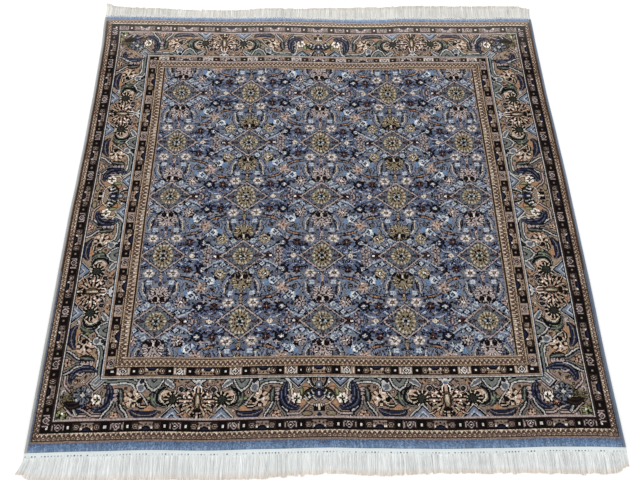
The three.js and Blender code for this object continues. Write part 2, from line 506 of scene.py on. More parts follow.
# The field's vines: width, wool, and the points that they run through.
VINES = (
    (5.6, "steel", (0, 150), (22, 132), (52, 133), (84, 124), (113, 104)),
    (FINE, "ink", (16, 140), (52, 130), (84, 124), (113, 104)),
    (FINE, "ice", (66, 60), (82, 66), (98, 84), (113, 102)),
    (FINE, "ink", (64, 54), (84, 60), (101, 82), (116, 99)),
    (FINE, "soot", (60, 20), (84, 30), (100, 44), (116, 44)),
    (FINE, "ice", (62, 14), (84, 25), (102, 38), (116, 38)),
    (FINE, "ice", (113, 182), (96, 192), (82, 192)),
    (FINE, "soot", (40, 172), (58, 166), (90, 158), (113, 160)),
    (FINE, "soot", (28, 60), (44, 68), (56, 92), (52, 112), (38, 128)),
    (FINE, "navy", (70, 120), (62, 104), (70, 92)),
    (FINE, "rose", (100, 144), (92, 150), (84, 146), (78, 140)),
)


def field_half(c, palmette_wools, flower_wools, scroll_wools):
    """What belongs to one lozenge of the first kind, up to the middle of its cell."""
    # patches of deeper ground
    c.spots("denim", (66, 178, 36, 20), (100, 186, 30, 14), (15, 125, 14, 9))
    c.spots("steel", (96, 60, 20, 12))
    for width, wool, *points in VINES:
        c.line(points, (width, wool))
    # leaves that flank the palmette
    c.leaf("ink", 34, 66, 47, 124, 24, 7)
    c.leaf("steel", 35, 69, 47, 121, 18, 7)
    c.leaf("ink", 40, 72, 50, 119, 7, 7)
    c.line([(36, 74), (46, 92), (48, 118)], (FINE, "sand"))
    # blossoms
    cream_rosette(c.at(34, 147))
    square = c.at(30, 118)
    square.flower("steel", 11.5, 4, 0.25, start=45)
    square.flower("ice", 9.5, 4, 0.45, start=45)
    square.oval("sky", 2.4)
    dark_rosette(c.at(72, 159))
    night_flower(c.at(113, 160))
    for x, y, turn in ((128, 172, 30), (98, 170, 140), (130, 149, -35), (97, 150, 200)):
        c.at(x, y, turn=turn).leaf("soot", -7, 0, 8, 0, 6.5)
    patch = c.at(50, 181, turn=-38)
    patch.leaf("navy", -20, 0, 20, 0, 12)
    patch.leaf("slate", -14, 1, 16, 1, 6)
    patch.leaf("ice", -4, -1, 12, -1, 3)
    for reach, wool in ((11, "ink"), (8.4, "sand"), (5, "cream"), (1.8, "umber")):
        c.at(82, 203.6).flower(wool, reach, 6, 0.1, 0.86)
    # beside the lozenge's side tip
    tip = c.at(73, 0)
    tip.flower("soot", 15, 8, 0.25)
    tip.rays("rust", 5, 13, 8, 3.4)
    tip.spots("soot", (7, 0, 6))
    tip.spots("ivory", (7, 0, 3.4))
    scroll = c.at(101, 15)
    scroll.flower("ink", 17, 7, 0.2, 1.1)
    scroll.rays(scroll_wools[0], 6, 15, 7, 4.4, 1.1)
    scroll.rays(scroll_wools[1], 6, 15, 7, 2.8, 1.1, start=26)
    scroll.flower("soot", 6, 5, 0.4)
    scroll.oval(scroll_wools[0], 2.2)
    # pale blossom on a dark patch, along the lozenge's edge
    c.at(55, 27).lozenge("soot", 14, 11)
    c.at(56, 26).flower("ice", 8, 4, 0.4)
    c.spots("navy", (56, 26, 2.4))
    c.leaf("soot", 66, 30, 82, 36, 8)
    c.leaf("ice", 67, 30, 80, 35, 4)
    # small blossom and big flower beside the palmette's foot
    rosette(c.at(28, 50), 9, 6, "ice", "leaf", "steel")
    flower = c.at(62, 57)
    flower.flower("soot", 19, 9, 0.15)
    flower.rays(flower_wools[0], 5, 17, 9, 6)
    flower.rays(flower_wools[1], 9, 16, 9, FINE, start=20)
    flower.flower("ink", 8.5, 6, 0.3)
    flower.flower("ivory", 5.6, 4, 0.5)
    flower.oval("soot", 1.8)
    # blossoms between the leaf and the middle
    ring = c.at(87, 80)
    ring.oval("soot", 17, 14)
    ring.flower("ice", 13.5, 5, 0.25)
    ring.spots("ivory", (-3, 2, 4.4, 7))
    ring.at(2, 0).flower("soot", 7, 4, 0.35)
    ring.spots("sky", (2, 0, 2.6))
    c.spots("sky", (72, 86, 6, 9))
    c.spots("navy", (104, 71, 8.6, 8))
    c.at(104, 71).flower("ice", 7, 4, 0.45)
    rosette(c.at(78, 104), 6.5, 5, "mouse", "rust", "soot")
    c.spots("soot", (126, 60, 8))
    c.at(126, 60).flower("rose", 6.6, 4, 0.4)
    c.leaf("soot", 64, 74, 76, 66, 8)
    # long leaf
    c.leaf("ink", 46, 138, 112, 118, 9, 3)
    c.leaf("copper", 58, 132, 102, 121, 3.6, 3)
    c.leaf("mouse", 46, 138, 66, 130, 3.4, 1)
    # palmette and the finial beyond it
    palmette(c.at(0, 49), *palmette_wools)
    finial(c.at(0, 136), palmette_wools[0])


# The small motifs sown on the field's blue ground: first these, then the specks.
FIELD_GROUND = ("slate", "steel", "denim")
FIELD_FILLERS = (
    (sprig, "soot", "sage"), (sprig, "navy", "ice"), (sprig, "ink", "mouse"), (bud, "soot", "ivory"),
    (bud, "navy", "salmon"), (hook, "soot", "ice"), (hook, "ink", "rose"), (cross, "soot", "ice"),
    (bud, "ink", "rust"), (sprig, "soot", "denim"), (hook, "soot", "mouse"), (bud, "soot", "mouse"),
)
FIELD_SPECKS = (
    (bud, "navy", "navy"), (bud, "ink", "ink"), (bud, "mouse", "mouse"), (bud, "soot", "ice"),
    (bud, "steel", "ice"), (bud, "ink", "rose"),
)


def field_tile():
    """A quarter of the field's repeat. A lozenge of the first kind stands at two of its corners."""
    c = Chart.blank(PITCH_COLUMNS, PITCH_ROWS, "slate")
    width, height = PITCH_COLUMNS * KNOT_X, PITCH_ROWS * KNOT_Y
    far = c.at(width, height, turn=180)
    for half in (c, far):
        half.spots("steel", (62, 174, 40, 26))
    field_half(c, ("rose", "cream", "rust"), ("rose", "ink"), ("rose", "rust"))
    field_half(far, ("gold", "sand", "dusk"), ("gold", "sand"), ("rose", "mouse"))
    fuzzy = c.at(width / 2, height / 2)
    fuzzy.flower("mouse", 21, 7, 0.3)
    fuzzy.rays("rose", 3, 21, 7, 4.4)
    fuzzy.rays("dusk", 5, 17, 7, 3.4, start=24)
    fuzzy.rays("salmon", 3, 12, 5, 4)
    fuzzy.spots("ink", (7, 9, 2.8), (-9, 5, 2.8), (3, -11, 2.8), (-6, -9, 2.4), (14, 6, 2.4), (0, 0, 2.8))
    fuzzy.spots("cream", (11, -2, 2.2), (-3, 13, 2), (-13, -4, 2))
    sow(c, FIELD_GROUND, FIELD_FILLERS, tries=1600, seed=3, room=5.8)
    sow(c, FIELD_GROUND, FIELD_SPECKS, tries=2400, seed=4, room=4.2)
    for lozenge, tall in ((c, 26), (far, 26), (c.at(width, 0), 37), (c.at(0, height), 37)):
        medallion(lozenge, tall)
    return c.knots


def lay_field(chart, tile):
    """Repeats and mirrors the tile over a quarter of the rug."""
    rows, columns = chart.shape
    for r in range(math.ceil(rows / PITCH_ROWS)):
        for k in range(math.ceil(columns / PITCH_COLUMNS)):
            piece = tile[:: -1 if r % 2 else 1, :: -1 if k % 2 else 1]
            r0, k0 = r * PITCH_ROWS, k * PITCH_COLUMNS
            part = chart[r0 : r0 + PITCH_ROWS, k0 : k0 + PITCH_COLUMNS]
            part[:] = piece[: part.shape[0], : part.shape[1]]


# Border. x runs along the side from its middle, y from the main border's inner edge outwards.

# Where the first arch and the middle of the repeat stand along a side, and how deep the border is.
ARCH, REPEAT_MIDDLE = 112.0, 323.0
BORDER_DEPTH = 115.0

# The right side of an arch, and the stripes of a ribbon: width, wool.
ARCH_PROFILE = ((8, 66), (10, 76), (15, 86), (24, 95), (30, 105), (33, 119))
RIBBON = ((24.8, "soot"), (19.6, "pearl"), (11.2, "soot"), (5.2, "sage"))


def triangle(c, half=31.0, deep=28.0):
    """A triangle on y = 0, whose tip points up."""
    for grow, wool in ((9.4, "pearl"), (6.0, "soot"), (0.4, "slate")):
        c.polygon(wool, [(-half - grow, -3), (half + grow, -3), (0, deep + grow)])
    for side in c.sides():
        side.stroke("ice", [(20, -1), (0, 18)], FINE)
        side.stroke("ink", [(15, -1), (0, 14)], FINE)
    c.polygon("pearl", [(-7, -3), (7, -3), (0, 7)])


def bloom(c, r, petal, edge, heart):
    """A round flower with a dark rim, streaked petals and a pale heart."""
    c.flower("soot", r + 3, 5, 0.12)
    c.rays(petal, 2, r, 5, r * 0.75)
    c.rays(edge, 3, r * 0.9, 5, FINE, start=36)
    c.flower("soot", r * 0.5, 4, 0.25)
    c.flower(heart, r * 0.34, 4, 0.3)


def arch(c):
    """The arch on the border's outer edge, with small petals over it and a dark leaf beside."""
    for grow, wool in ((5.6, "soot"), (3.2, "pearl"), (0.2, "soot"), (-3.6, "mouse"), (-7.0, "fawn")):
        side = [(x + grow, y - 0.7 * grow) for x, y in ARCH_PROFILE]
        c.polygon(wool, side + [(-x, y) for x, y in side[::-1]])
    crown = c.at(0, 103)
    crown.flower("umber", 12, 5, 0.2, start=90)
    crown.rays("salmon", 3, 11, 5, 5, start=90)
    crown.spots("gold", (-8, -7, 3.4), (8, 7, 3))
    crown.spots("soot", (0, 0, 3), (6, -8, 2.4))
    c.blade([(3, 30), (10, 42), (12, 57), (15, 73)], (19, "soot"), (11, "moss"), (3.6, "sage"))
    for y, r in ((38, 6), (50, 5), (61, 5.6)):
        c.spots("soot", (-1, y, r + FINE))
        c.spots("rose", (-2, y, r))
        c.spots("umber", (1, y + 1, 2))


def shield(c):
    """The shield that hangs from the inner edge between two ribbons."""
    for half, deep, wool in ((28, 47, "soot"), (25, 42, "pearl"), (22, 37, "soot"), (19, 33, "sage"),
                             (10, 20, "soot"), (7, 15, "mouse")):
        right = [(half, 0), (half, deep * 0.3), (half * 0.6, deep * 0.74)]
        c.polygon(wool, right + [(0, deep)] + [(-x, y) for x, y in right[::-1]])


def tan_palmette(c):
    """The wide palmette at the middle of the repeat, its petals broken by dark spots."""
    crown = c.at(0, 66)
    crown.flower("umber", 49, 14, 0.12)
    crown.flower("fawn", 46, 14, 0.12)
    crown.rays("salmon", 15, 47, 12, 4.6)
    crown.rays("soot", 20, 43, 12, 8, start=15)
    crown.rays("sand", 27, 39, 12, 3, start=15)
    for half in c.sides():
        half.spots("soot", (42, 80, 4.6), (27, 60, 4), (18, 48, 4), (33, 92, 3.4))
        half.spots("ivory", (33, 68, 3), (21, 56, 2.8), (26, 45, 2.8), (36, 52, 2.6))
        half.spots("gold", (28, 84, 5), (12, 92, 3.6))
        half.spots("copper", (27, 103, 6.4), (56, 18, 6))
        half.spots("umber", (60, 22, 3), (52, 14, 3))
        half.blade([(30, 92), (38, 99), (52, 102)], (8, "soot"), (3, "salmon"))
        for x, r, wool in ((44, 9.4, "rose"), (43, 7, "soot"), (42, 3.4, "moss")):
            half.spots(wool, (x, 35, r))
        half.blade([(34, 22), (26, 30), (14, 34)], (9, "soot"), (4, "rose"))
    for rx, ry, wool in ((11, 24, "umber"), (8, 20, "olive"), (4.6, 17, "gold")):
        crown.oval(wool, rx, ry)
    c.spots("sand", (0, 62, 2.6, 11))
    c.at(0, 98).rays("soot", 3, 14, 7, 4.6, 0.9, start=270)
    c.spots("sand", (0, 106, 2.6, 4))
    for half in c.sides():
        half.stroke("ink", [(17, 8), (3, 18)], 12)
        half.stroke("pearl", [(15, 9), (4, 16)], 5.6)
        half.blade([(3, 24), (9, 32), (8, 46)], (8, "soot"), (3.6, "ivory"))
        half.spots("soot", (14, 38, 3.6))
    c.spots("pearl", (0, 16, 7.5, 8.5))
    c.spots("denim", (0, 20, 4.4, 4))
    c.spots("ivory", (0, 7, 3))


def spiky_palmette(c):
    """The dark burst over the outer edge's triangle, with a pale arc on its far side."""
    c.rays("soot", 4, 24, 11, 8, 0.95)
    c.rays("sand", 13, 25, 11, 3, 0.95, start=16.4)
    c.flower("soot", 14.5, 9, 0.2)
    c.rays("moss", 3, 12, 9, 3)
    c.spots("umber", (0, 0, 3.4))
    c.line([(24, -26), (31, -12), (28, 4), (20, 14)], (9, "soot"), (4, "rose"))


def border_unit(c, ribbon_start):
    """From an arch at x = 0 to the middle of the repeat at x = 211."""
    c.spots("copper", (42, 58, 33, 22), (84, 86, 12, 8))
    c.spots("salmon", (126, 46, 10, 9))
    c.spots("copper", (-16, 31, 9, 7))
    # striped ribbon and the pale scroll at its end
    c.line([*ribbon_start, (-14, 13), (8, 11), (28, 12), (44, 18), (50, 28)], *RIBBON)
    scroll = c.at(61, 26)
    scroll.oval("soot", 15, 20.5)
    scroll.oval("pearl", 12.4, 18)
    scroll.spots("ink", (0, -12, 6))
    scroll.spots("lead", (-1, 5, 7.4, 9))
    scroll.spots("steel", (-2, 5, 3.6))
    c.leaf("soot", 67, 18, 75, 32, 6)
    # flower
    c.line([(16, 44), (25, 60), (34, 78)], (9, "salmon"), (FINE, "brown"))
    flower = c.at(46, 60)
    flower.rays("sand", 4, 23, 8, 7.5, 0.95)
    flower.rays("rust", 8, 24, 8, FINE, 0.95, start=22)
    flower.rays("salmon", 8, 20, 8, FINE, 0.95)
    flower.spots("soot", (-4, -4, 5), (-1, 11, 4.6), (14, 6, 7), (20, 0, 5))
    flower.spots("ivory", (6, -12, 3.2), (-10, 2, 3))
    c.blade([(10, 77), (18, 83), (29, 88)], (15, "soot"), (9.5, "sage"), (4, "moss"))
    c.blade([(54, 76), (68, 82), (82, 79)], (13, "soot"), (8, "olive"), (3, "sand"))
    # dark boat-shaped leaf
    c.blade([(36, 89), (54, 100), (74, 104), (94, 102), (110, 92)],
            (24, "soot"), (16, "navy"), (7, "soot"), (3.6, "mouse"))
    # branches under the shield
    c.blade([(92, 42), (91, 56), (95, 70), (106, 84)], (20, "soot"), (12, "moss"), (4, "sage"))
    c.line([(60, 46), (72, 60), (82, 76)], (8.5, "soot"), (3, "pearl"))
    c.line([(122, 30), (108, 42), (104, 59), (109, 71), (124, 77)], (12, "sage"), (8, "soot"))
    c.line([(121, 42), (114, 51), (114, 62), (121, 70)], (4.2, "sand"))
    c.spots("leaf", (83, 60, 4), (97, 62, 3))
    c.blade([(114, 11), (124, 13), (135, 20), (148, 32)], (23, "soot"), (16, "pearl"), (8.5, "lead"))
    shield(c.at(93, 0))
    spiky_palmette(c.at(146, 62))
    bloom(c.at(178, 94), 7, "fawn", "umber", "ivory")
    triangle(c.at(146, BORDER_DEPTH, turn=180), 32, 30)
    arch(c)
    c.line([(30, 112), (44, 113), (60, 113)], (4, "soot"))


def side_leaf(c):
    """The big dark leaf before an arch, which curls down over a scroll on the outer edge."""
    c.line([(28, 79), (44, 95), (56, 102), (84, 103)], (10, "soot"), (4.4, "rose"))
    c.blade([(85, 16), (93, 34), (94, 50), (92, 66), (82, 79), (66, 87), (50, 83)],
            (28, "soot"), (20, "navy"), (13, "lead"), (9, "navy"), (3.6, "soot"))
    c.blade([(85, 52), (78, 62), (82, 74)], (10, "soot"), (5, "rose"))


def cream_bloom(c):
    c.spots("copper", (-15, 12, 9, 12))
    c.flower("umber", 17, 6, 0.12)
    c.flower("ivory", 15, 6, 0.22)
    c.rays("sand", 6, 14, 6, FINE, start=30)
    c.flower("soot", 8.5, 4, 0.5)
    c.spots("soot", (3, 12, 2.6, 6))
    c.spots("leaf", (0, 0, 2.2))
    c.leaf("olive", -18, -30, -10, -4, 15)
    c.leaf("leaf", -16, -27, -11, -7, 8.5)
    c.blade([(6, -28), (13, -20), (12, -6)], (10, "umber"), (5, "sand"))


def centre_piece(c):
    """The blue palmette at the middle of a side, with what stands beside it up to the arch."""
    side_leaf(c)
    c.polygon("copper", [(13, 37), (43, 20), (45, 52)])
    c.line([(18, 38), (30, 33), (43, 31)], (FINE, "brown"))
    c.spots("soot", (25, 19, 6.4))
    c.spots("ivory", (26, 19, 3.6))
    c.line([(12, 31), (18, 23), (22, 8)], (6, "soot"))
    c.line([(15, 34), (22, 25), (27, 11)], (FINE, "pearl"))
    c.blade([(11, 36), (24, 40), (37, 48)], (10, "umber"), (5.4, "sand"))
    c.blade([(4, 40), (24, 52), (46, 74)], (29, "soot"), (19, "moss"), (9, "soot"))
    for x, y in ((16, 48), (24, 55), (32, 63)):
        c.stroke("pearl", [(x + 4, y - 6), (x - 3, y + 5)], 2.8)
    c.spots("ivory", (25, 60, 3.4))
    c.line([(0, 69), (9, 66), (15, 57)], (7, "soot"), (3, "pearl"))
    for reach, y, wool in ((9.5, 27, "steel"), (11, 50, "navy")):
        c.spots("soot", (0, y, reach + 1, reach + 2))
        c.spots(wool, (0, y, reach - 1.6, reach))
        c.spots("pearl", (0, y, 2.4, reach * 0.55))
    c.spots("rose", (0, 10, 3.4, 5.4))
    c.spots("fawn", (0, 70, 5.4))
    c.box("soot", -14, 77, 15, 98)
    for x in (0, 6.5, 13):
        c.spots("ivory", (x, 81, 2.2, 3))
    c.stroke("sand", [(0, 84), (0, 94)], FINE)
    c.line([(16, 80), (26, 76), (38, 64)], (8, "brown"), (FINE, "sand"))
    c.spots("umber", (31, 103, 15, 7.5))
    c.spots("gold", (31, 103, 11.5, 5))
    triangle(c.at(56, 0))
    cream_bloom(c.at(60, 62))


def corner_piece(c):
    """The cluster on the border's corner. The origin is the inner corner, x and y run outwards."""
    for x, y, r in ((56, 56, 30), (90, 62, 16), (62, 90, 16), (98, 98, 20)):
        c.spots("olive", (x, y, r))
    fillers = ((sprig, "soot", "moss"), (sprig, "umber", "gold"), (bud, "umber", "leaf"))
    sow(c, ("olive",), fillers, tries=9000, seed=7, room=5.0)
    for mirror in (False, True):
        h = c.at(0, 0, turn=90, flip=True) if mirror else c
        side_leaf(h.at(114, 0, flip=True).at(-4, 0))
        cream_bloom(h.at(8, 60))
        h.blade([(30, 96), (40, 88), (52, 84)], (9, "soot"), (4, "rose"))
        bloom(h.at(28, 74), 9.5, "copper", "rust", "salmon")
        # dark leaf with its pale rhomb
        h.blade([(48, 62), (62, 72), (80, 74), (96, 64)], (24, "soot"), (15, "umber"), (7, "soot"))
        h.polygon("soot", [(50, 100), (63, 80), (72, 84), (60, 106)])
        h.polygon("sage", [(54, 99), (64, 84), (69, 86), (60, 102)])
        h.line([(56, 98), (60, 100), (67, 87)], (FINE, "pearl"))
        h.line([(84, 108), (84, 92), (98, 86)], (3.4, "gold"))
        h.leaf("olive", 14, 40, 32, 30, 14)
        h.leaf("leaf", 16, 39, 30, 31, 8)
    plaque = c.at(12, 12, turn=45)
    for grow, wool in ((10, "rose"), (7.4, "soot"), (3.2, "pearl"), (0.6, "lead"), (-3, "pearl"),
                       (-6, "lead")):
        plaque.box(wool, -17 - grow, -9 - grow, 17 + grow, 9 + grow)
    star = c.at(48, 48)
    star.flower("soot", 27, 8, 0.15)
    star.rays("lead", 6, 24, 8, 10)
    star.rays("slate", 12, 22, 8, 5)
    star.rays("soot", 10, 20, 8, FINE)
    star.flower("soot", 10, 8, 0.3)
    star.flower("pearl", 6.5, 4, 0.4)
    c.spots("pearl", (38, 34, 3), (34, 39, 3), (62, 60, 3))
    c.spots("ink", (42, 38, 3), (36, 52, 3.4), (54, 38, 3.4))
    outer = c.at(99, 99)
    outer.flower("soot", 14, 6, 0.2)
    outer.rays("leaf", 4, 12, 6, 6)
    outer.spots("ivory", (-4, -4, 3.2))
    outer.spots("ink", (4, 4, 4))


# How soon the guards repeat: the squares in millimetres, the zigzag in knots.
SQUARES_PERIOD, ZIGZAG_KNOTS = 150.0, 5


def squares(guard, depth, ground, panel, pale, dot):
    """The guard of dark squares, each with its flower, panel and arch. It is depth millimetres wide."""
    half, middle = SQUARES_PERIOD / 2, depth / 2
    c = Chart(abs((guard.x + half) % SQUARES_PERIOD - half), guard.y, guard.knots, guard.within)
    c.stripe(ground, 0, depth)
    c.box("umber", 17.5, 0, 36.5, depth)
    for reach, wool in ((8.8, "soot"), (7.2, ground), (4.6, "soot"), (2.2, pale)):
        c.at(27, middle).flower(wool, reach, 6, 0.15)
    for reach, wool in ((10.6, "soot"), (2.7, dot)):
        c.box(wool, 47 - reach, middle - reach, 47 + reach, middle + reach)
    c.box(panel, 58, 3, 75, depth - 3)
    c.box(pale, 60, 6, 62.6, depth - 6)
    for reach, wool in ((11, "soot"), (9, pale), (6, "soot"), (2.6, dot)):
        c.at(75, middle).flower(wool, reach, 4, 0.2)
    c.spots("soot", (66, 6, 2))
    c.spots(pale, (66, depth - 6, 2))
    c.fill(c.y < 14 * (1 - (c.x / 20) ** 2), "soot")
    c.fill((c.y > 3) & (c.y < 8.5 * (1 - (c.x / 15) ** 2)), "navy")
    for x, y, wool in ((0, 5.5, "soot"), (10, 4.5, "umber"), (14, -4, "cream"), (17, 5, "soot")):
        c.spots(wool, (x, middle + y, 2.6))
    c.stripe("soot", 0, 3)
    c.stripe("soot", depth - 3, depth)


def zigzag(guard, depth, pale_knots, edge):
    """The narrow guard: a dark wave, a dark speck in each of its feet and a pale dot in its crests.

    Of every five knots along it the pale ones are named, and so is the width of its pale edge.
    """
    guard.stripe("fawn", 0, depth)
    guard.fill(np.isin((guard.x / KNOT_X).astype(int) % ZIGZAG_KNOTS, pale_knots), "sand")
    guard.stripe("sand", 0, edge)
    wave = abs((guard.x / (ZIGZAG_KNOTS * KNOT_X)) % 1 - 0.5) * 2
    share = guard.y / depth
    line = (wave < 0.9) & (abs(share - (0.22 + 0.5 * (1 - wave))) < 0.2)
    speck = (wave > 0.72) & (abs(share - 0.8) < 0.1)
    guard.fill(line | speck, "brown")
    guard.fill((wave < 0.25) & (abs(share - 0.32) < 0.1), "cream")


DARK_WOOLS = ("soot", "navy", "ink", "umber", "brown", "moss")


def outline(c, grounds, dark):
    """Works a dark knot wherever a pale shape meets its ground."""
    ground = np.isin(c.knots, [NUMBER[wool] for wool in grounds])
    shape = ~ground & ~np.isin(c.knots, [NUMBER[wool] for wool in DARK_WOOLS])
    beside = np.zeros_like(shape)
    for axis in (0, 1):
        for way in (-1, 1):
            beside |= np.roll(shape, way, axis)
    c.fill(ground & beside, dark)


def draw_border(c):
    """One side's main border, from its middle to the corner."""
    border_unit(c.at(ARCH, 0), [(-30, 32), (-25, 20)])
    far = c.at(2 * REPEAT_MIDDLE - ARCH, 0, flip=True)
    border_unit(far, [(-46, 11), (-28, 12)])
    side_leaf(c.at(2 * REPEAT_MIDDLE, 0, flip=True))
    arch(far)
    centre_piece(c)
    tan_palmette(c.at(REPEAT_MIDDLE, 0))


# The small motifs sown on the border's tan ground: first these, then the specks.
BORDER_GROUND = ("fawn", "salmon", "olive")
BORDER_FILLERS = (
    (sprig, "soot", "sage"), (sprig, "umber", "salmon"), (bud, "soot", "ivory"), (bud, "soot", "copper"),
    (hook, "soot", "ice"), (sprig, "soot", "moss"), (cross, "umber", "sand"), (bud, "umber", "leaf"),
    (hook, "umber", "brown"), (sprig, "soot", "navy"), (bud, "soot", "soot"), (sprig, "soot", "umber"),
)
BORDER_SPECKS = ((bud, "umber", "brown"), (bud, "soot", "fawn"), (bud, "brown", "sand"))

# The frames round the field at the rug's ends and sides, in millimetres from its middle.
# Lines: from, to, wool. Squares: from, to, worked inwards, wools of ground, panel, pale marks and dots.
# Zigzags: from, to, the pale knots in every five, width of the pale edge.
END_FRAME = {
    "field": 510,
    "border": 563,
    "lines": (
        (510, 514, "fawn"), (514, 517, "umber"), (562, 567, "fawn"), (567, 569.5, "pearl"),
        (569.5, 571.5, "soot"), (672, 674, "soot"), (674, 677, "rose"), (677, 681, "umber"),
        (707, 708, "umber"), (725.5, 728.5, "umber"), (728.5, 731.5, "fawn"),
    ),
    "squares": (
        (536, 562, False, "fawn", "fawn", "cream", "cream"),
        (681, 707, True, "dusk", "umber", "rose", "cream"),
    ),
    "zigzags": ((517, 536, (0,), 0), (708, 725.5, (0,), 3.6)),
}
SIDE_FRAME = {
    "field": 513,
    "border": 575,
    "lines": (
        (513, 517.5, "fawn"), (517.5, 521, "umber"), (573, 577, "fawn"), (577, 580, "ice"),
        (580, 582.5, "soot"), (686, 688.5, "soot"), (688.5, 691.5, "pearl"), (691.5, 695, "umber"),
        (721, 722, "umber"), (736, 738.5, "umber"), (738.5, 743, "steel"),
    ),
    "squares": (
        (545, 573, False, "fawn", "fawn", "rose", "dusk"),
        (695, 721, True, "dusk", "umber", "rose", "dusk"),
    ),
    "zigzags": ((521, 545, (0, 2), 0), (722, 736, (0,), 2.4)),
}

# The blue band along an end: where it starts, how far out its painted shade beside the guard pales, how
# uneven its dye is along it and knot by knot, and its blues with the tones between them.
BAND_START, BAND_SHADE_REACH = 731.5, 18
BAND_STREAKS, BAND_FLECKS = 0.16, 0.12
BAND_BLUES, BAND_STEPS = ("denim", "sky", "sky", "haze"), (0.3, 0.6, 0.9)


def lay_band(chart):
    """The plain blue band along an end, with painted shade deepening it beside the guard, and streaked by
    uneven dye.
    """
    rng = np.random.default_rng(8)
    blues = np.array([NUMBER[name] for name in BAND_BLUES])
    streaks = rng.normal(0, BAND_STREAKS, HALF_COLUMNS)
    for row in np.flatnonzero(chart.y[:, 0] >= BAND_START):
        # painted shade: the deepest blue beside the guard, paling outwards
        tone = (chart.y[row, 0] - BAND_START) / BAND_SHADE_REACH + streaks
        tone += rng.normal(0, BAND_FLECKS, HALF_COLUMNS)
        chart.knots[row] = blues[np.digitize(tone, BAND_STEPS)]


def lay_frame(frame, along, across, knots):
    """The guards and lines beside the border. Returns the knots with them."""
    layer = Chart(along, across, knots.copy())
    for start, end, wool in frame["lines"]:
        layer.stripe(wool, start, end)
    for start, end, inwards, *wools in frame["squares"]:
        squares(layer.strip(start, end, inwards), end - start, *wools)
    for start, end, pale_knots, edge in frame["zigzags"]:
        zigzag(layer.strip(start, end), end - start, pale_knots, edge)
    return layer.knots


def quarter_chart():
    """A quarter of the rug's chart, x and y outwards from its middle."""
    chart = Chart.blank(HALF_COLUMNS, HALF_ROWS, "fawn")
    x, y, knots = chart.x, chart.y, chart.knots
    in_end, in_side = END_FRAME["border"], SIDE_FRAME["border"]
    first_row, first_column = int(in_end / KNOT_Y) - 1, int(in_side / KNOT_X) - 1
    at_end = (x - in_side) < (y - in_end)
    end_knots, side_knots = knots.copy(), knots.copy()
    draw_border(Chart(x, y - in_end, end_knots).cut(first_row, 0))
    draw_border(Chart(y / (in_end / in_side), x - in_side, side_knots).cut(0, first_column))
    knots[:] = np.where(at_end, end_knots, side_knots)
    corner_piece(chart.at(in_side, in_end).cut(first_row, first_column))
    outline(chart, ("fawn", "copper", "olive"), "soot")
    sow(chart, BORDER_GROUND, BORDER_FILLERS, tries=12000, seed=5, room=7.0)
    sow(chart, BORDER_GROUND, BORDER_SPECKS, tries=12000, seed=6, room=5.0)
    knots[:] = np.where(at_end, lay_frame(END_FRAME, x, y, knots), lay_frame(SIDE_FRAME, y, x, knots))
    lay_band(chart)
    columns, rows = round(SIDE_FRAME["field"] / KNOT_X), round(END_FRAME["field"] / KNOT_Y)
    lay_field(knots[:rows, :columns], field_tile())
    return knots


# How far the columns stray to the left, where they stray no more, and over what width that stops.
STRAY, STRAY_ENDS, STRAY_FADE = 7, 745, 150

# How far they stray besides in the near border, how far from its middle, and from y to y.
NEAR_STRAY, NEAR_STRAY_WIDTH, NEAR_STRAY_Y = 14, 450, (-704, -534)

# The share of the field's knots that stand one place off, either way, and how far out that goes.
SLIPS, SLIPS_REACH = 0.06, 508

# Where a row stands at the far end, and the row of the chart that is woven there.
FAR_PACKING = (
    (-750, -750), (380, 380), (508, 504), (547, 538), (569, 566.5), (685, 683),
    (706, 703), (716, 708), (728, 725.5), (734, 731), (750, 750),
)

# The wools of the guards, and the paler ones that the far guards are worked in instead, as painted sheen
# where light catches the far pile.
GUARD_WOOLS, SHEEN_PALER_WOOLS = ("fawn", "dusk", "umber", "soot"), ("rose", "rose", "dusk", "umber")

# Knots worked in another wool than charted: at the far sides; in the far guards, paler as painted sheen; and
# at the near end, darker.
# From y, to y, from x and to x either side, share of the knots, the charted wools and the worked ones.
RECOLOURED = (
    (-250, 750, 737, 750, 1, ("steel",), ("brown",)),
    # painted sheen: the far guards in paler wools
    (538, 564, 0, 545, 1, GUARD_WOOLS, SHEEN_PALER_WOOLS),
    (683, 706, 0, 695, 1, GUARD_WOOLS, SHEEN_PALER_WOOLS),
    (-708, -563, 0, 750, 0.8, ("fawn",), ("dusk",)),
    (-750, -708, 0, 750, 0.35, ("sand",), ("dusk",)),
    (-750, -708, 0, 750, 1, ("fawn",), ("dusk",)),
)


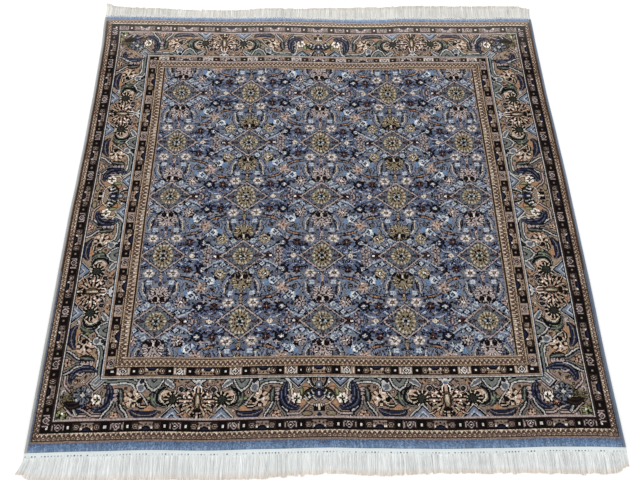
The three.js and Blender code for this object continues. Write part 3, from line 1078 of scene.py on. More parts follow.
def whole_chart():
    """The rug's chart: the quarter turned over both ways, strayed as it was woven, then recoloured in places:
    the far guards paler as painted sheen, the near end darker.
    """
    quarter = quarter_chart()
    half = np.concatenate([quarter[:, ::-1], quarter], 1)
    whole = np.concatenate([half[::-1], half], 0)
    x = (np.arange(2 * HALF_COLUMNS) + 0.5 - HALF_COLUMNS) * KNOT_X
    y = (np.arange(2 * HALF_ROWS) + 0.5 - HALF_ROWS)[:, None] * KNOT_Y
    stray = STRAY * np.clip((STRAY_ENDS - abs(x)) / STRAY_FADE, 0, 1)
    near = (y > NEAR_STRAY_Y[0]) & (y < NEAR_STRAY_Y[1])
    near_stray = NEAR_STRAY * np.clip(1 - abs(x) / NEAR_STRAY_WIDTH, 0, 1) * near
    woven = np.interp(y, *np.array(FAR_PACKING).T)
    rng = np.random.default_rng(21)
    slips = rng.choice((-1, 0, 1), (2, *whole.shape), p=(SLIPS, 1 - 2 * SLIPS, SLIPS))
    slips[:, np.maximum(abs(x), abs(y)) > SLIPS_REACH] = 0
    columns = np.floor((x + stray + near_stray) / KNOT_X + HALF_COLUMNS).astype(int) + slips[0]
    rows = np.floor(woven / KNOT_Y + HALF_ROWS).astype(int) + slips[1]
    knots = whole[np.clip(rows, 0, 2 * HALF_ROWS - 1), np.clip(columns, 0, 2 * HALF_COLUMNS - 1)]
    charted = knots.copy()
    for y0, y1, x0, x1, share, wools, others in RECOLOURED:
        place = (y > y0) & (y < y1) & (abs(x) >= x0) & (abs(x) < x1)
        if share < 1:
            place = place & (rng.random(knots.shape) < share)
        for wool, other in zip(wools, others):
            knots[place & (charted == NUMBER[wool])] = NUMBER[other]
    return knots


# Meshes and materials

def make_piece(name, points, faces, material):
    """A mesh piece from points in millimetres from the pile's middle."""
    mesh = bpy.data.meshes.new(name)
    points = np.asarray(points, float) * MM + np.array(PILE_MIDDLE)
    mesh.from_pydata(points.tolist(), [], faces)
    mesh.materials.append(material)
    piece = bpy.data.objects.new(name, mesh)
    bpy.context.scene.collection.objects.link(piece)
    return piece


def put_uv(mesh, name, corners):
    mesh.uv_layers.new(name=name).data.foreach_set("uv", np.asarray(corners, np.float32).ravel())


def to_linear(colour):
    """Blender's linear colour for one picked from a screen."""
    linear = [c / 12.92 if c <= 0.04045 else ((c + 0.055) / 1.055) ** 2.4 for c in colour]
    return (*linear, 1.0)


def feed(tree, socket, value):
    """Links an output to a socket, or sets the socket to a plain value."""
    if isinstance(value, bpy.types.NodeSocket):
        tree.links.new(value, socket)
    else:
        socket.default_value = value


def add_node(tree, kind, inputs=(), **settings):
    """A shader node with its settings, and its inputs fed by name or number."""
    node = tree.nodes.new("ShaderNode" + kind)
    for name, value in settings.items():
        setattr(node, name, value)
    for name, value in dict(inputs).items():
        feed(tree, node.inputs[name], value)
    return node


def math_node(tree, operation, *values):
    return add_node(tree, "Math", enumerate(values), operation=operation).outputs[0]


def vector_node(tree, operation, *values):
    return add_node(tree, "VectorMath", enumerate(values), operation=operation).outputs[0]


def uv_node(tree, name):
    return add_node(tree, "UVMap", uv_map=name).outputs[0]


def attribute_node(tree, name):
    return add_node(tree, "Attribute", attribute_name=name)


def add_up(tree, parts):
    return functools.reduce(functools.partial(math_node, tree, "ADD"), parts)


def equals(tree, a, number):
    """1 where a rounds to number, else 0."""
    return math_node(tree, "COMPARE", a, number, 0.5)


def noise(tree, vector, scale, detail):
    return add_node(tree, "TexNoise", {"Vector": vector, "Scale": scale, "Detail": detail}).outputs[0]


def shade(tree, colour, tone):
    """The colour multiplied by a tone around 1."""
    return add_node(tree, "VectorMath", {0: colour, "Scale": tone}, operation="SCALE").outputs[0]


def spread(tree, value, low, high):
    """Stretches a noise's middle range to low..high."""
    inputs = {"Value": value, "From Min": 0.25, "From Max": 0.75, "To Min": low, "To Max": high}
    return add_node(tree, "MapRange", inputs).outputs[0]


def share_beyond(tree, value, start):
    """0 where a value is below start, rising evenly to 1 where it is 1."""
    return add_node(tree, "MapRange", {"Value": value, "From Min": start}).outputs[0]


def mix_colours(tree, share, a, b):
    return add_node(tree, "Mix", {"Factor": share, "A": a, "B": b}, data_type="RGBA").outputs["Result"]


def new_group(name, inputs, outputs):
    """An empty shader group. Its inputs and outputs are given by name and socket type."""
    tree = bpy.data.node_groups.new(name, "ShaderNodeTree")
    for side, sockets in (("INPUT", inputs), ("OUTPUT", outputs)):
        for title, kind in sockets.items():
            tree.interface.new_socket(title, in_out=side, socket_type="NodeSocket" + kind)
    return tree, tree.nodes.new("NodeGroupInput"), tree.nodes.new("NodeGroupOutput")


def knot_group(wools):
    """Reads a knot's wool from the square of knots that each face of the pile carries."""
    tree, _, out = new_group("charted_knots", {}, {"Color": "Color"})
    place = add_node(tree, "SeparateXYZ", {0: uv_node(tree, "knots")})
    margin = 0.001
    column, row = (
        math_node(tree, "FLOOR", math_node(tree, "MINIMUM", math_node(tree, "MAXIMUM", part, margin),
                                           KNOTS_PER_FACE - margin))
        for part in place.outputs[:2]
    )
    rows = attribute_node(tree, "knot_rows")
    channels = add_node(tree, "SeparateColor", {0: rows.outputs["Color"]}).outputs
    packed = add_up(tree, [
        math_node(tree, "MULTIPLY", channel, equals(tree, row, number))
        for number, channel in enumerate((*channels, rows.outputs["Alpha"]))
    ])
    share = add_up(tree, [
        math_node(tree, "MULTIPLY", equals(tree, column, number), WOOL_STEPS ** -number)
        for number in range(KNOTS_PER_FACE)
    ])
    shifted = math_node(tree, "FLOOR", math_node(tree, "MULTIPLY", packed, share))
    above = math_node(tree, "FLOOR", math_node(tree, "MULTIPLY", shifted, 1 / WOOL_STEPS))
    wool = math_node(tree, "SUBTRACT", shifted, math_node(tree, "MULTIPLY", above, WOOL_STEPS))
    position = math_node(tree, "MULTIPLY", math_node(tree, "ADD", wool, 0.5), 1 / len(wools))
    ramp = add_node(tree, "ValToRGB", {0: position})
    ramp.color_ramp.interpolation = "CONSTANT"
    stops = ramp.color_ramp.elements
    stops.remove(stops[1])
    for number, colour in enumerate(wools):
        stop = stops[0] if number == 0 else stops.new(number / len(wools))
        stop.position = number / len(wools)
        stop.color = to_linear(colour)
    feed(tree, out.inputs["Color"], ramp.outputs[0])
    return tree


def yarn_group():
    """Fibres and uneven dye: shades a colour and gives the height of the yarn's surface."""
    inputs = {"Color": "Color", "Fibre Scale": "Float", "Depth": "Float"}
    tree, given, out = new_group("spun_yarn", inputs, {"Color": "Color", "Height": "Float"})
    place = add_node(tree, "TexCoord").outputs["Object"]
    fibre = noise(tree, place, given.outputs["Fibre Scale"], 3)
    patch = noise(tree, place, 14, 3)
    low = math_node(tree, "SUBTRACT", 1.0, given.outputs["Depth"])
    high = math_node(tree, "ADD", 1.0, given.outputs["Depth"])
    colour = shade(tree, given.outputs["Color"], spread(tree, fibre, low, high))
    feed(tree, out.inputs["Color"], shade(tree, colour, spread(tree, patch, low, high)))
    feed(tree, out.inputs["Height"], fibre)


def new_material(name, roughness, sheen, shine=0.2):
    """A material with its Principled shader's constants set. Returns it, its tree and the shader."""
    material = bpy.data.materials.new(name)
    material.use_nodes = True
    shader = material.node_tree.nodes["Principled BSDF"]
    shader.inputs["Roughness"].default_value = roughness
    shader.inputs["Specular IOR Level"].default_value = shine
    shader.inputs["Sheen Weight"].default_value = sheen
    shader.inputs["Sheen Roughness"].default_value = 0.45
    return material, material.node_tree, shader


# Yarns: scale of the fibres, unevenness of the dye, relief in metres and its strength.
PILE_FIBRES, PILE_STRENGTH = (420, 0.05), 0.7
OVERCAST_YARN = (900, 0.12, 0.0006, 0.6)
COTTON_YARN = (700, 0.05, 0.0004, 0.5)


def spin(tree, shader, colour, fibre_scale, depth, relief, strength, tufts=None):
    """Gives the shader a colour as spun yarn, with the relief of its fibres and tufts."""
    inputs = {"Color": colour, "Fibre Scale": fibre_scale, "Depth": depth}
    yarn = add_node(tree, "Group", inputs, node_tree=bpy.data.node_groups["spun_yarn"])
    height = yarn.outputs["Height"]
    if tufts is not None:
        height = math_node(tree, "ADD", height, math_node(tree, "MULTIPLY", tufts, 0.5))
    bump = add_node(tree, "Bump", {"Distance": relief, "Strength": strength, "Height": height})
    feed(tree, shader.inputs["Base Color"], yarn.outputs["Color"])
    feed(tree, shader.inputs["Normal"], bump.outputs[0])


# Where the painted sheen at the far end starts, as a share of the rug's length from the near end.
FAR_SHEEN_START = 0.86

# How often the dye's lots change across and along the rug, and by how much.
LOTS, LOT_STEP = (1.5, 26, 1), 0.05


def paint_far_sheen(tree, place, colour, settings):
    """Paints a sheen on the wool towards the far end, brightening it and veiling it pale where light catches
    the leaning pile.
    """
    share = share_beyond(tree, add_node(tree, "SeparateXYZ", {0: place}).outputs[1], FAR_SHEEN_START)
    gain = math_node(tree, "MULTIPLY", share, settings.far_sheen_gain)
    veil = math_node(tree, "MULTIPLY", math_node(tree, "MULTIPLY", share, share), settings.far_sheen_veil)
    bright = shade(tree, colour, math_node(tree, "ADD", gain, 1.0))
    return mix_colours(tree, veil, bright, to_linear(settings.far_sheen_wool))


def wool_material(settings):
    """Clipped wool pile, each knot in the chart's colour."""
    material, tree, shader = new_material("knotted_wool", 0.95, settings.pile_sheen, 0.05)
    wools = [getattr(settings, name) for name in WOOLS]
    knots = add_node(tree, "Group", node_tree=knot_group(wools))
    chart = uv_node(tree, "chart")
    cells = vector_node(tree, "MULTIPLY", chart, (2 * HALF_COLUMNS, 2 * HALF_ROWS, 1))
    knot = vector_node(tree, "FLOOR", cells)
    chance = add_node(tree, "TexWhiteNoise", {"Vector": knot}, noise_dimensions="2D").outputs[0]
    lot = noise(tree, vector_node(tree, "MULTIPLY", chart, LOTS), 1.0, 2)
    uneven = settings.uneven_dye
    colour = shade(tree, knots.outputs["Color"], spread(tree, chance, 1 - uneven, 1 + uneven))
    colour = shade(tree, colour, spread(tree, lot, 1 - LOT_STEP, 1 + LOT_STEP))
    # painted sheen at the far end
    colour = paint_far_sheen(tree, chart, colour, settings)
    spin(tree, shader, colour, *PILE_FIBRES, settings.tuft_relief, PILE_STRENGTH, chance)
    return material


def overcast_material(name, colour):
    """Blue yarn of a selvedge cord."""
    material, tree, shader = new_material("overcast_" + name, 0.9, 0.2)
    spin(tree, shader, to_linear(colour), *OVERCAST_YARN)
    return material


# Where the strands start to grey towards their tips, partly as painted shade, as a share of their length.
TIPS_START = 0.7


def cotton_material(settings, end):
    """Undyed cotton that greys and yellows a little towards the tips, partly as painted shade."""
    material, tree, shader = new_material(end + "_fringe_cotton", 0.9, settings.cotton_sheen)
    tip_share = share_beyond(tree, attribute_node(tree, "strand_along").outputs["Fac"], TIPS_START)
    cotton, tips = (to_linear(getattr(settings, end + part)) for part in ("_cotton", "_tips"))
    dye, uneven = attribute_node(tree, "strand_dye").outputs["Fac"], settings.uneven_cotton
    tone = spread(tree, dye, 1 - uneven, 1 + uneven)
    spin(tree, shader, shade(tree, mix_colours(tree, tip_share, cotton, tips), tone), *COTTON_YARN)
    return material


# The gaps' distance from each other and of their row from the pile in millimetres, and half a gap
# as a share of that distance and in millimetres.
GAP_STEP, GAP_PLACE = 8.0, 9.6
GAP_SHARE, GAP_REACH = 0.22, 1.6


def web_material(settings, end):
    """The web's cotton, with the small dark gaps of its last row of knots."""
    material, tree, shader = new_material(end + "_web_cotton", 0.9, settings.cotton_sheen)
    place = add_node(tree, "SeparateXYZ", {0: uv_node(tree, "web")})
    turns = math_node(tree, "MULTIPLY", place.outputs[0], 1 / GAP_STEP)
    along = math_node(tree, "ABSOLUTE", math_node(tree, "SUBTRACT", math_node(tree, "FRACT", turns), 0.5))
    out = math_node(tree, "ABSOLUTE", math_node(tree, "SUBTRACT", place.outputs[1], GAP_PLACE))
    gap = math_node(tree, "MULTIPLY", math_node(tree, "LESS_THAN", along, GAP_SHARE),
                    math_node(tree, "LESS_THAN", out, GAP_REACH))
    chance = add_node(tree, "TexWhiteNoise", {"W": math_node(tree, "FLOOR", turns)}, noise_dimensions="1D")
    gap = math_node(tree, "MULTIPLY", gap, chance.outputs[0])
    web, shadow = to_linear(getattr(settings, end + "_web")), to_linear(settings.web_gaps)
    spin(tree, shader, mix_colours(tree, gap, web, shadow), *COTTON_YARN)
    return material


# Pieces

# How far the pile is shorn down along its near end, and how high its rim and shoulder stand elsewhere.
NEAR_SHEARING = 4.0
PILE_RIM, PILE_SHOULDER = 7.0, 8.9

# How far the pile's top and shoulder are drawn in from its foot.
TOP_INSET, SHOULDER_INSET = 2.0, 0.6

# Where the faces above and below lie across the OFBake map: start, width.
BAKED_ABOVE, BAKED_BELOW = (0.0, 0.7), (0.72, 0.28)


def pile_points(inset, z):
    """The grid of the pile's face corners at one height, its outline drawn in by inset."""
    u = np.linspace(-1, 1, FACE_COLUMNS + 1)
    v = np.linspace(-1, 1, FACE_ROWS + 1)
    drawn_in = SELVEDGE_WIDTH + PIECE_GAP + inset
    left = side_x(LEFT, v * HALF_SIDE) + drawn_in
    right = side_x(RIGHT, v * HALF_SIDE) - drawn_in
    near = end_y(NEAR, u * (HALF_SIDE - drawn_in)) + inset
    far = end_y(FAR, u * (HALF_SIDE - drawn_in)) - inset
    x = left[:, None] * (1 - u) / 2 + right[:, None] * (1 + u) / 2
    y = near * (1 - v[:, None]) / 2 + far * (1 + v[:, None]) / 2
    shorn = np.zeros(x.shape)
    shorn[0] = NEAR_SHEARING * (z > NEAR_SHEARING)
    return np.stack([x, y, z - shorn], -1)


def pack_knots(chart):
    """Four by four knots for each face, as four numbers of four knots each."""
    n = KNOTS_PER_FACE
    faces = chart.reshape(FACE_ROWS, n, FACE_COLUMNS, n).transpose(0, 2, 1, 3)
    weights = WOOL_STEPS ** np.arange(n)
    return (faces * weights).sum(-1).reshape(-1, n).astype(np.float32)


def knot_pile(settings):
    """The slab of pile: a grid of faces above and below, joined by its cut edge."""
    top, base = pile_points(TOP_INSET, CARPET_THICKNESS), pile_points(0.0, 0.0)
    rows, columns = top.shape[:2]
    rim = [(0, k) for k in range(columns - 1)]
    rim += [(r, columns - 1) for r in range(rows - 1)]
    rim += [(rows - 1, k) for k in range(columns - 1, 0, -1)]
    rim += [(r, 0) for r in range(rows - 1, 0, -1)]
    rim_rows, rim_columns = np.array(rim).T
    edge = pile_points(0.0, PILE_RIM)[rim_rows, rim_columns]
    shoulder = pile_points(SHOULDER_INSET, PILE_SHOULDER)[rim_rows, rim_columns]
    points = np.concatenate([top.reshape(-1, 3), base.reshape(-1, 3), edge, shoulder])

    # the faces above and below, and for each of their corners its place in the face and on the grid
    grid = rows * columns
    number = np.arange(grid).reshape(rows, columns)
    above = np.stack([number[:-1, :-1], number[:-1, 1:], number[1:, 1:], number[1:, :-1]], -1).reshape(-1, 4)
    count = len(above)
    square = np.array([(0, 0), (1, 0), (1, 1), (0, 1)])
    first_corner = np.stack(np.meshgrid(np.arange(columns - 1), np.arange(rows - 1)), -1).reshape(-1, 1, 2)
    faces = [above, above[:, ::-1] + grid]
    local = [np.tile(way, (count, 1)) for way in (square, square[::-1])]
    spots = [(first_corner + way).reshape(-1, 2) for way in (square, square[::-1])]
    packed = pack_knots(whole_chart())
    knots = [packed, packed]

    # the cut edge shows the outermost knots
    spot = np.stack([rim_columns, rim_rows], 1)
    next_spot = np.roll(spot, -1, 0)
    last = np.array([columns - 1, rows - 1])
    off_middle = (spot + next_spot - last) / 2
    outermost = abs(off_middle) >= last / 2
    owner = np.floor((spot + next_spot - outermost * np.sign(off_middle)) / 2)
    owner = np.clip(owner, 0, last - 1).astype(int)
    corner = np.stack([spot, next_spot, next_spot, spot], 1)
    top_rim = number[rim_rows, rim_columns]
    ring = 2 * grid + np.arange(len(rim))
    rings = (top_rim + grid, ring, ring + len(rim), top_rim)
    for low, high in zip(rings, rings[1:]):
        faces.append(np.stack([low, np.roll(low, -1), np.roll(high, -1), high], 1))
        local.append((corner - owner[:, None]).reshape(-1, 2))
        spots.append(corner.reshape(-1, 2))
        knots.append(packed[owner[:, 1] * (columns - 1) + owner[:, 0]])

    piece = make_piece("pile", points, np.concatenate(faces).tolist(), wool_material(settings))
    spots = np.concatenate(spots) / last
    put_uv(piece.data, "knots", np.concatenate(local) * KNOTS_PER_FACE)
    put_uv(piece.data, "chart", spots)
    baked = spots.copy()
    below = np.s_[4 * count : 8 * count]
    baked[:, 0] = BAKED_ABOVE[0] + BAKED_ABOVE[1] * spots[:, 0]
    baked[below, 0] = BAKED_BELOW[0] + BAKED_BELOW[1] * spots[below, 0]
    put_uv(piece.data, "OFBake", baked)
    rows_of_knots = piece.data.attributes.new("knot_rows", "FLOAT_COLOR", "FACE")
    rows_of_knots.data.foreach_set("color", np.concatenate(knots).ravel())
    return piece


def tube(path, section):
    """Points and faces of a closed tube. Each path row is x, y, z, width, height of a ring across y."""
    count = len(section)
    points = []
    for x, y, z, across, up in path:
        points += [(x + sx * across, y, z + sz * up) for sx, sz in section]
    faces = []
    for ring in range(len(path) - 1):
        for k in range(count):
            a, b = ring * count + k, ring * count + (k + 1) % count
            faces.append((a, b, b + count, a + count))
    faces.append(tuple(range(count))[::-1])
    faces.append(tuple(range((len(path) - 1) * count, len(path) * count)))
    return points, faces


# The sides of a cord's round, its girth at the steps of each turn of yarn, and how far that strays.
CORD_SIDES = 12
TURN_GIRTHS = (0.9, 0.985, 1.0, 0.985)
GIRTH_STRAY = 0.03


def overcast_selvedge(settings, side, material):
    """A cord along one side, its wrapping laid turn by turn."""
    sign = SIGNS[side]
    middle = sign * (HALF_SIDE - SELVEDGE_WIDTH / 2)
    steps = settings.selvedge_turns * len(TURN_GIRTHS)
    y = np.linspace(float(end_y(NEAR, middle)), float(end_y(FAR, middle)), steps + 1)
    x = side_x(side, y) - sign * SELVEDGE_WIDTH / 2
    rng = np.random.default_rng(11 + side)
    girth = np.resize(TURN_GIRTHS, steps + 1) * (1 - GIRTH_STRAY * rng.random(steps + 1))
    half_step = math.pi / CORD_SIDES
    angles = math.pi / 2 - half_step - np.arange(CORD_SIDES) * 2 * half_step
    section = [(math.cos(t) / 2, 0.5 + math.sin(t) / 2 / math.cos(half_step)) for t in angles]
    path = np.stack([x, y, np.zeros_like(x), girth * SELVEDGE_WIDTH, girth * SELVEDGE_HEIGHT], 1)
    points, faces = tube(path, section)
    return make_piece("selvedge_cord_" + SIDE_NAMES[side], points, faces, material)


# How much higher the web starts where it comes out of the pile, and how soon it is down.
WEB_RISE, WEB_RISE_WIDTH = 1.6, 5.0

# How far the furrows between the wefts and the web's last row lie below its top.
FURROW, LAST_FURROW = 0.5, 0.9


def weave_web(settings, end, material):
    """The flat woven band between the pile and the fringe, with its wefts as low ridges."""
    sign = SIGNS[end]
    first, last = end_corners(end)
    x = np.linspace(first, last, settings.web_steps + 1)
    out = np.linspace(0, WEB_WIDTH, settings.web_wefts * 2 + 1)
    height = np.where(np.arange(len(out)) % 2, WEB_THICKNESS, WEB_THICKNESS - FURROW)
    height[-1] = WEB_THICKNESS - LAST_FURROW
    height += WEB_RISE * np.clip(1 - out / WEB_RISE_WIDTH, 0, 1)
    rings = [*zip(out, height), (out[-1], 0.0), (out[0], 0.0)]
    if end == NEAR:
        rings.reverse()
    points = []
    for along, base in zip(x, end_y(end, x)):
        points += [(along, base + sign * (PIECE_GAP + o), h) for o, h in rings]
    count, steps = len(rings), len(x) - 1
    start = np.arange(steps)[:, None] * count
    k = np.arange(count)
    a, b = start + k, start + (k + 1) % count
    faces = np.stack([a, a + count, b + count, b], -1).reshape(-1, 4).tolist()
    faces.append(tuple(range(count)))
    faces.append(tuple(range(steps * count, (steps + 1) * count))[::-1])
    piece = make_piece("web_" + END_NAMES[end], points, faces, material)
    across = np.array([(point[0] - first, ring[0]) for point, ring in zip(points, rings * len(x))])
    loops = np.empty(len(piece.data.loops), np.int32)
    piece.data.loops.foreach_get("vertex_index", loops)
    put_uv(piece.data, "web", across[loops])
    return piece


# How far each strand's root stands out of its place, as a share of a step, and is kept from the corners.
ROOT_STRAY, CORNER_GAP = 0.3, 0.6

# How far locks and strands lean, reach and sway out of the table's way, and how far locks gather.
LOCK_LEAN, LOCK_REACH = 0.8, 1.2
STRAND_LEAN, STRAND_REACH, STRAND_SWAY = 1.3, 1.3, 0.7
GATHER = 0.15

# How deep a strand's root lies in the web, and how high its root, middle and tip may lie.
ROOT_DEPTH = 1.5
STRAND_HEIGHTS = ((0.7, 1.5), (0.5, 1.9), (0.45, 1.0))
FLOOR_GAP = 0.05

# The rings of a strand along it, its taper there, and the corners of each ring.
STRAND_RINGS = np.array([0.0, 0.25, 0.5, 0.75, 1.0])
STRAND_TAPER = np.array([1.0, 1.0, 1.0, 1.0, 0.8])
STRAND_SIDES = 3

# How far the tone of strands and of locks strays.
STRAND_TONE, LOCK_TONE = 0.2, 0.04


def lay_fringe(settings, end, material):
    """Fine warps that run out of the web, gathered loosely into locks."""
    sign = SIGNS[end]
    rng = np.random.default_rng(31 + end)
    count = settings.strands
    first, last = end_corners(end)
    step = (last - first) / count
    x = first + step * (np.arange(count) + 0.5) + rng.uniform(-ROOT_STRAY, ROOT_STRAY, count) * step
    x = np.clip(x, first + CORNER_GAP, last - CORNER_GAP)
    lock = np.floor((x - first) / settings.lock_width).astype(int)
    locks = lock.max() + 1
    lock_lean = rng.normal(0, LOCK_LEAN, locks)[lock]
    lock_reach = rng.normal(0, LOCK_REACH, locks)[lock]
    lock_middle = first + (lock + 0.5) * settings.lock_width
    place = x / HALF_SIDE
    reach = read_table(FRINGE, end, place) + lock_reach - abs(rng.normal(0, STRAND_REACH, count))
    lean = read_table(FRINGE, 2 + end, place) + lock_lean + rng.normal(0, STRAND_LEAN, count)
    root = WEB_WIDTH + PIECE_GAP - ROOT_DEPTH
    sway = (lock_middle - x) * GATHER + rng.normal(0, STRAND_SWAY, count)
    px = x[:, None] + lean[:, None] * STRAND_RINGS ** 1.4 + sway[:, None] * np.sin(np.pi * STRAND_RINGS)
    py = end_y(end, x)[:, None] + sign * (root + (reach[:, None] - root) * STRAND_RINGS)
    root_z, mid_z, tip_z = (rng.uniform(low, high, count) for low, high in STRAND_HEIGHTS)
    pz = np.stack([root_z, 0.6 * root_z + 0.4 * mid_z, mid_z, 0.5 * (mid_z + tip_z), tip_z], 1)
    radius = settings.strand_thickness / MM / 2 * STRAND_TAPER
    turn = rng.uniform(0, 2 * math.pi, count)
    k = np.arange(STRAND_SIDES)
    corner = turn[:, None] + sign * 2 * math.pi / STRAND_SIDES * k
    ox, oz = (part(corner)[:, None, :] * radius[:, None] for part in (np.sin, np.cos))
    oz = np.maximum(oz, FLOOR_GAP - pz[:, :, None])
    py = np.repeat(py[:, :, None], STRAND_SIDES, 2)
    points = np.stack([px[:, :, None] + ox, py, pz[:, :, None] + oz], -1)
    rings = len(STRAND_RINGS)
    strand = np.arange(count)[:, None] * rings * STRAND_SIDES
    start = strand[:, :, None] + (np.arange(rings - 1) * STRAND_SIDES)[:, None]
    a, b = start + k, start + (k + 1) % STRAND_SIDES
    faces = np.stack([a, b, b + STRAND_SIDES, a + STRAND_SIDES], -1).reshape(-1, 4).tolist()
    faces += (strand + k[::-1]).tolist() + (strand + (rings - 1) * STRAND_SIDES + k).tolist()
    piece = make_piece("fringe_strands_" + END_NAMES[end], points.reshape(-1, 3), faces, material)
    dye = rng.normal(0.5, STRAND_TONE, count) + rng.normal(0, LOCK_TONE, locks)[lock]
    along = np.tile(STRAND_RINGS, (count, 1))
    for title, values in (("strand_along", along), ("strand_dye", np.clip(dye, 0, 1)[:, None] + 0 * along)):
        tone = piece.data.attributes.new(title, "FLOAT", "POINT")
        tone.data.foreach_set("value", np.repeat(values.ravel(), STRAND_SIDES).astype(np.float32))
    return piece


# Settings

def colour_property(name, description, colour):
    """A colour as picked from a screen, given as 0 to 255."""
    return FloatVectorProperty(
        name=name,
        description=description,
        subtype="COLOR_GAMMA",
        size=3,
        min=0,
        max=1,
        default=tuple(c / 255 for c in colour),
    )


def share_property(name, description, default):
    return FloatProperty(name=name, description=description, default=default, min=0, max=1, subtype="FACTOR")


def length_property(name, description, default, least=0.0):
    """A length in metres."""
    return FloatProperty(
        name=name, description=description, default=default, min=least, subtype="DISTANCE", unit="LENGTH",
    )


class RugWools(bpy.types.PropertyGroup):
    """The dyed wools that the pile is knotted in, and how the clipped pile looks."""

    __annotations__ = {
        name: colour_property(name.capitalize(), "Dyed wool of the pile", colour)
        for name, colour in WOOLS.items()
    }
    uneven_dye: share_property("Uneven Dye", "How far one knot's tone strays from the next", 0.26)
    pile_sheen: share_property("Pile Sheen", "Soft shine of the wool at a low angle", 0.02)
    # Painted sheen at the far end: how far it veils the wool, how much it brightens it, and the pale it veils
    # it with.
    far_sheen_veil: share_property("Far Sheen Veil", "How pale the wool looks at its far edge", 0.1)
    far_sheen_gain: FloatProperty(
        name="Far Gain", description="How much brighter the wool looks at its far edge", default=0.34, min=0,
    )
    far_sheen_wool: colour_property("Far Sheen Wool", "What the wool pales to at the far end", (226, 222, 216))
    tuft_relief: length_property("Tuft Relief", "How far the tufts stand out of each other", 0.0012)


class RugEdges(bpy.types.PropertyGroup):
    """The selvedges, webs and fringes."""

    selvedge_turns: IntProperty(
        name="Selvedge Turns", description="Turns of yarn round each selvedge cord", default=420, min=10,
    )
    # The left cord is given paler and greyer than the right, partly as painted light, which falls more on the
    # left side.
    overcast_left: colour_property("Left Overcast", "Yarn of the left selvedge", (163, 164, 163))
    overcast_right: colour_property("Right Overcast", "Yarn of the right selvedge", (110, 122, 138))
    web_steps: IntProperty(name="Web Steps", description="Steps along each web", default=300, min=20)
    web_wefts: IntProperty(name="Web Wefts", description="Wefts that show across each web", default=6, min=1)
    near_web: colour_property("Near Web", "Cotton of the near web, dulled by its wefts", (216, 222, 223))
    far_web: colour_property("Far Web", "Cotton of the far web, dulled by its wefts", (216, 216, 212))
    web_gaps: colour_property("Web Gaps", "Shade between the web's last knots", (40, 38, 42))
    strands: IntProperty(name="Strands", description="Warps in each fringe", default=3000, min=100)
    strand_thickness: length_property("Strand Thickness", "Thickness of one warp", 0.0009, 0.0001)
    lock_width: FloatProperty(
        name="Lock Width", description="Width in millimetres that the warps gather in", default=9.0, min=1,
    )
    # The far fringe's cotton and tips are given darker and warmer than the near's: partly the far fringe's
    # own beige, partly painted shade that offsets the lamp beyond the far end.
    near_cotton: colour_property("Near Cotton", "Undyed cotton of the near fringe", (229, 232, 231))
    near_tips: colour_property("Near Tips", "The near fringe's tips", (224, 212, 198))
    far_cotton: colour_property("Far Cotton", "Undyed cotton of the far fringe", (222, 221, 216))
    far_tips: colour_property("Far Tips", "The far fringe's tips", (204, 196, 184))
    uneven_cotton: share_property("Uneven Cotton", "How far one warp's tone strays from the next", 0.2)
    cotton_sheen: share_property("Cotton Sheen", "Soft shine of the cotton", 0.05)


class RugStudio(bpy.types.PropertyGroup):
    """The floor, the lights and the camera."""

    floor: colour_property("Floor", "The pale floor", (246, 246, 246))
    room_light: FloatProperty(name="Room Light", description="Even light from all round", default=1.04, min=0)
    lamp_watts: FloatProperty(
        name="Lamp", description="Power of the soft lamp beyond the far end", default=45, min=0,
        subtype="POWER", unit="POWER",
    )
    focal_length: FloatProperty(
        name="Focal Length", description="Lens in millimetres for a 36 mm frame", default=41.34, min=1,
    )


# Operators

class RUG_OT_knot_pile(bpy.types.Operator):
    """Knot the wool pile"""

    bl_idname = "rug.knot_pile"
    bl_label = "Knot Pile"
    bl_options = {"REGISTER", "UNDO"}

    def execute(self, context):
        pile = knot_pile(context.scene.rug_wools)
        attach(pile, "root")
        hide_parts("carpet")
        return {"FINISHED"}


class RUG_OT_overcast_selvedges(bpy.types.Operator):
    """Wrap the cord along each side"""

    bl_idname = "rug.overcast_selvedges"
    bl_label = "Overcast Selvedges"
    bl_options = {"REGISTER", "UNDO"}

    def execute(self, context):
        edges = context.scene.rug_edges
        for side, name in enumerate(SIDE_NAMES):
            material = overcast_material(name, getattr(edges, "overcast_" + name))
            cord = overcast_selvedge(edges, side, material)
            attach(cord, "root")
            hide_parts("selvedge_" + name)
        return {"FINISHED"}


class RUG_OT_weave_webs(bpy.types.Operator):
    """Weave the flat band of bare warps at each end"""

    bl_idname = "rug.weave_webs"
    bl_label = "Weave Webs"
    bl_options = {"REGISTER", "UNDO"}

    def execute(self, context):
        edges = context.scene.rug_edges
        for end, name in ((NEAR, "fringe_near"), (FAR, "fringe_far")):
            web = weave_web(edges, end, web_material(edges, END_NAMES[end]))
            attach(web, "root")
            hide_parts(name)
        return {"FINISHED"}


class RUG_OT_lay_fringes(bpy.types.Operator):
    """Lay out the fringe's warps at each end"""

    bl_idname = "rug.lay_fringes"
    bl_label = "Lay Fringes"
    bl_options = {"REGISTER", "UNDO"}

    def execute(self, context):
        edges = context.scene.rug_edges
        for end, name in ((NEAR, "fringe_near"), (FAR, "fringe_far")):
            fringe = lay_fringe(edges, end, cotton_material(edges, END_NAMES[end]))
            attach(fringe, "root")
            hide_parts(name)
        return {"FINISHED"}


# The floor's width, and the lamp's width, depth and place, in metres.
FLOOR_WIDTH = 60
LAMP_SIZE, LAMP_PLACE = (4.0, 2.5), (-0.6, 3.0, 3.2)

# The photograph's view: metres from the pile's middle; degrees looked down, to the right, and rolled.
CAMERA_PLACE = (-0.0617, -1.2231, 1.8482)
CAMERA_ANGLES = (59.72, 2.683, 2.104)
SENSOR_WIDTH, VIEW_REACH = 36, 100


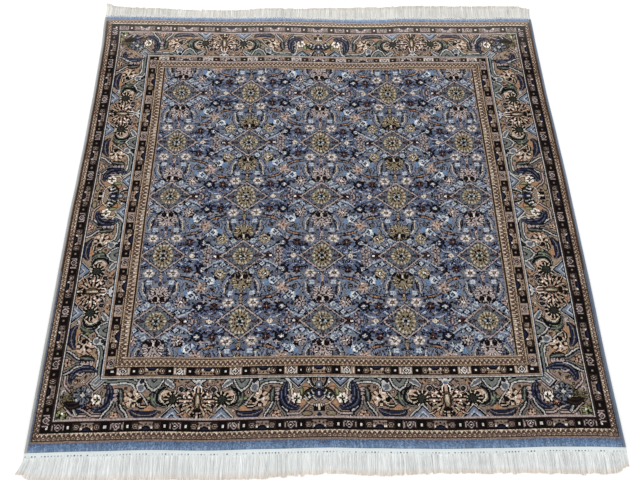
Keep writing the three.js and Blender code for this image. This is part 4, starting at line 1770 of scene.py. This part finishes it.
class RUG_OT_set_stage(bpy.types.Operator):
    """Set the floor, the lights and the camera"""

    bl_idname = "rug.set_stage"
    bl_label = "Set Stage"
    bl_options = {"REGISTER", "UNDO"}

    def execute(self, context):
        scene, studio = context.scene, context.scene.rug_studio
        bpy.ops.mesh.primitive_plane_add(size=FLOOR_WIDTH, location=(0, 0, 0))
        floor = context.active_object
        floor.name = "floor"
        material, _, shader = new_material("pale_floor", 0.9, 0.0)
        shader.inputs["Base Color"].default_value = to_linear(studio.floor)
        floor.data.materials.append(material)

        world = bpy.data.worlds.new("studio")
        world.use_nodes = True
        sky = world.node_tree.nodes["Background"]
        sky.inputs["Color"].default_value = (1, 1, 1, 1)
        sky.inputs["Strength"].default_value = studio.room_light
        scene.world = world
        lamp_data = bpy.data.lights.new("far_softbox", "AREA")
        lamp_data.shape = "RECTANGLE"
        lamp_data.size, lamp_data.size_y = LAMP_SIZE
        lamp_data.energy = studio.lamp_watts
        lamp = bpy.data.objects.new("far_softbox", lamp_data)
        lamp.location = LAMP_PLACE
        lamp.rotation_euler = (-lamp.location).to_track_quat("-Z", "Y").to_euler()
        scene.collection.objects.link(lamp)

        camera_data = bpy.data.cameras.new("camera")
        camera_data.sensor_width = SENSOR_WIDTH
        camera_data.lens = studio.focal_length
        camera_data.clip_end = VIEW_REACH
        camera = bpy.data.objects.new("camera", camera_data)
        pitch, yaw, roll = (math.radians(angle) for angle in CAMERA_ANGLES)
        ahead = Vector((math.sin(yaw) * math.cos(pitch), math.cos(yaw) * math.cos(pitch), -math.sin(pitch)))
        level = Vector((math.cos(yaw), -math.sin(yaw), 0))
        upward = level.cross(ahead)
        right = math.cos(roll) * level + math.sin(roll) * upward
        up = math.cos(roll) * upward - math.sin(roll) * level
        turn = Matrix((right, up, -ahead)).transposed().to_4x4()
        camera.matrix_world = Matrix.Translation(PILE_MIDDLE + Vector(CAMERA_PLACE)) @ turn
        scene.collection.objects.link(camera)
        scene.camera = camera
        scene.view_settings.view_transform = "Standard"
        return {"FINISHED"}


class RUG_PT_maker(bpy.types.Panel):
    """Steps and settings of the rug"""

    bl_idname = "RUG_PT_maker"
    bl_label = "Indo Herati Rug"
    bl_space_type = "VIEW_3D"
    bl_region_type = "UI"
    bl_category = "Rug"

    def draw(self, context):
        for step in STEPS:
            self.layout.operator(step.bl_idname)
        for title in ("rug_wools", "rug_edges", "rug_studio"):
            box = self.layout.box()
            settings = getattr(context.scene, title)
            for name in settings.bl_rna.properties.keys():
                if name not in ("rna_type", "name"):
                    box.prop(settings, name)


STEPS = (RUG_OT_knot_pile, RUG_OT_overcast_selvedges, RUG_OT_weave_webs, RUG_OT_lay_fringes, RUG_OT_set_stage)
CLASSES = (RugWools, RugEdges, RugStudio, *STEPS, RUG_PT_maker)


def register():
    for cls in CLASSES:
        bpy.utils.register_class(cls)
    bpy.types.Scene.rug_wools = PointerProperty(type=RugWools)
    bpy.types.Scene.rug_edges = PointerProperty(type=RugEdges)
    bpy.types.Scene.rug_studio = PointerProperty(type=RugStudio)


def unregister():
    del bpy.types.Scene.rug_studio
    del bpy.types.Scene.rug_edges
    del bpy.types.Scene.rug_wools
    for cls in reversed(CLASSES):
        bpy.utils.unregister_class(cls)


def main():
    register()
    yarn_group()
    bpy.ops.rug.knot_pile()
    bpy.ops.rug.overcast_selvedges()
    bpy.ops.rug.weave_webs()
    bpy.ops.rug.lay_fringes()
    bpy.ops.rug.set_stage()


if __name__ == "__main__":
    main()
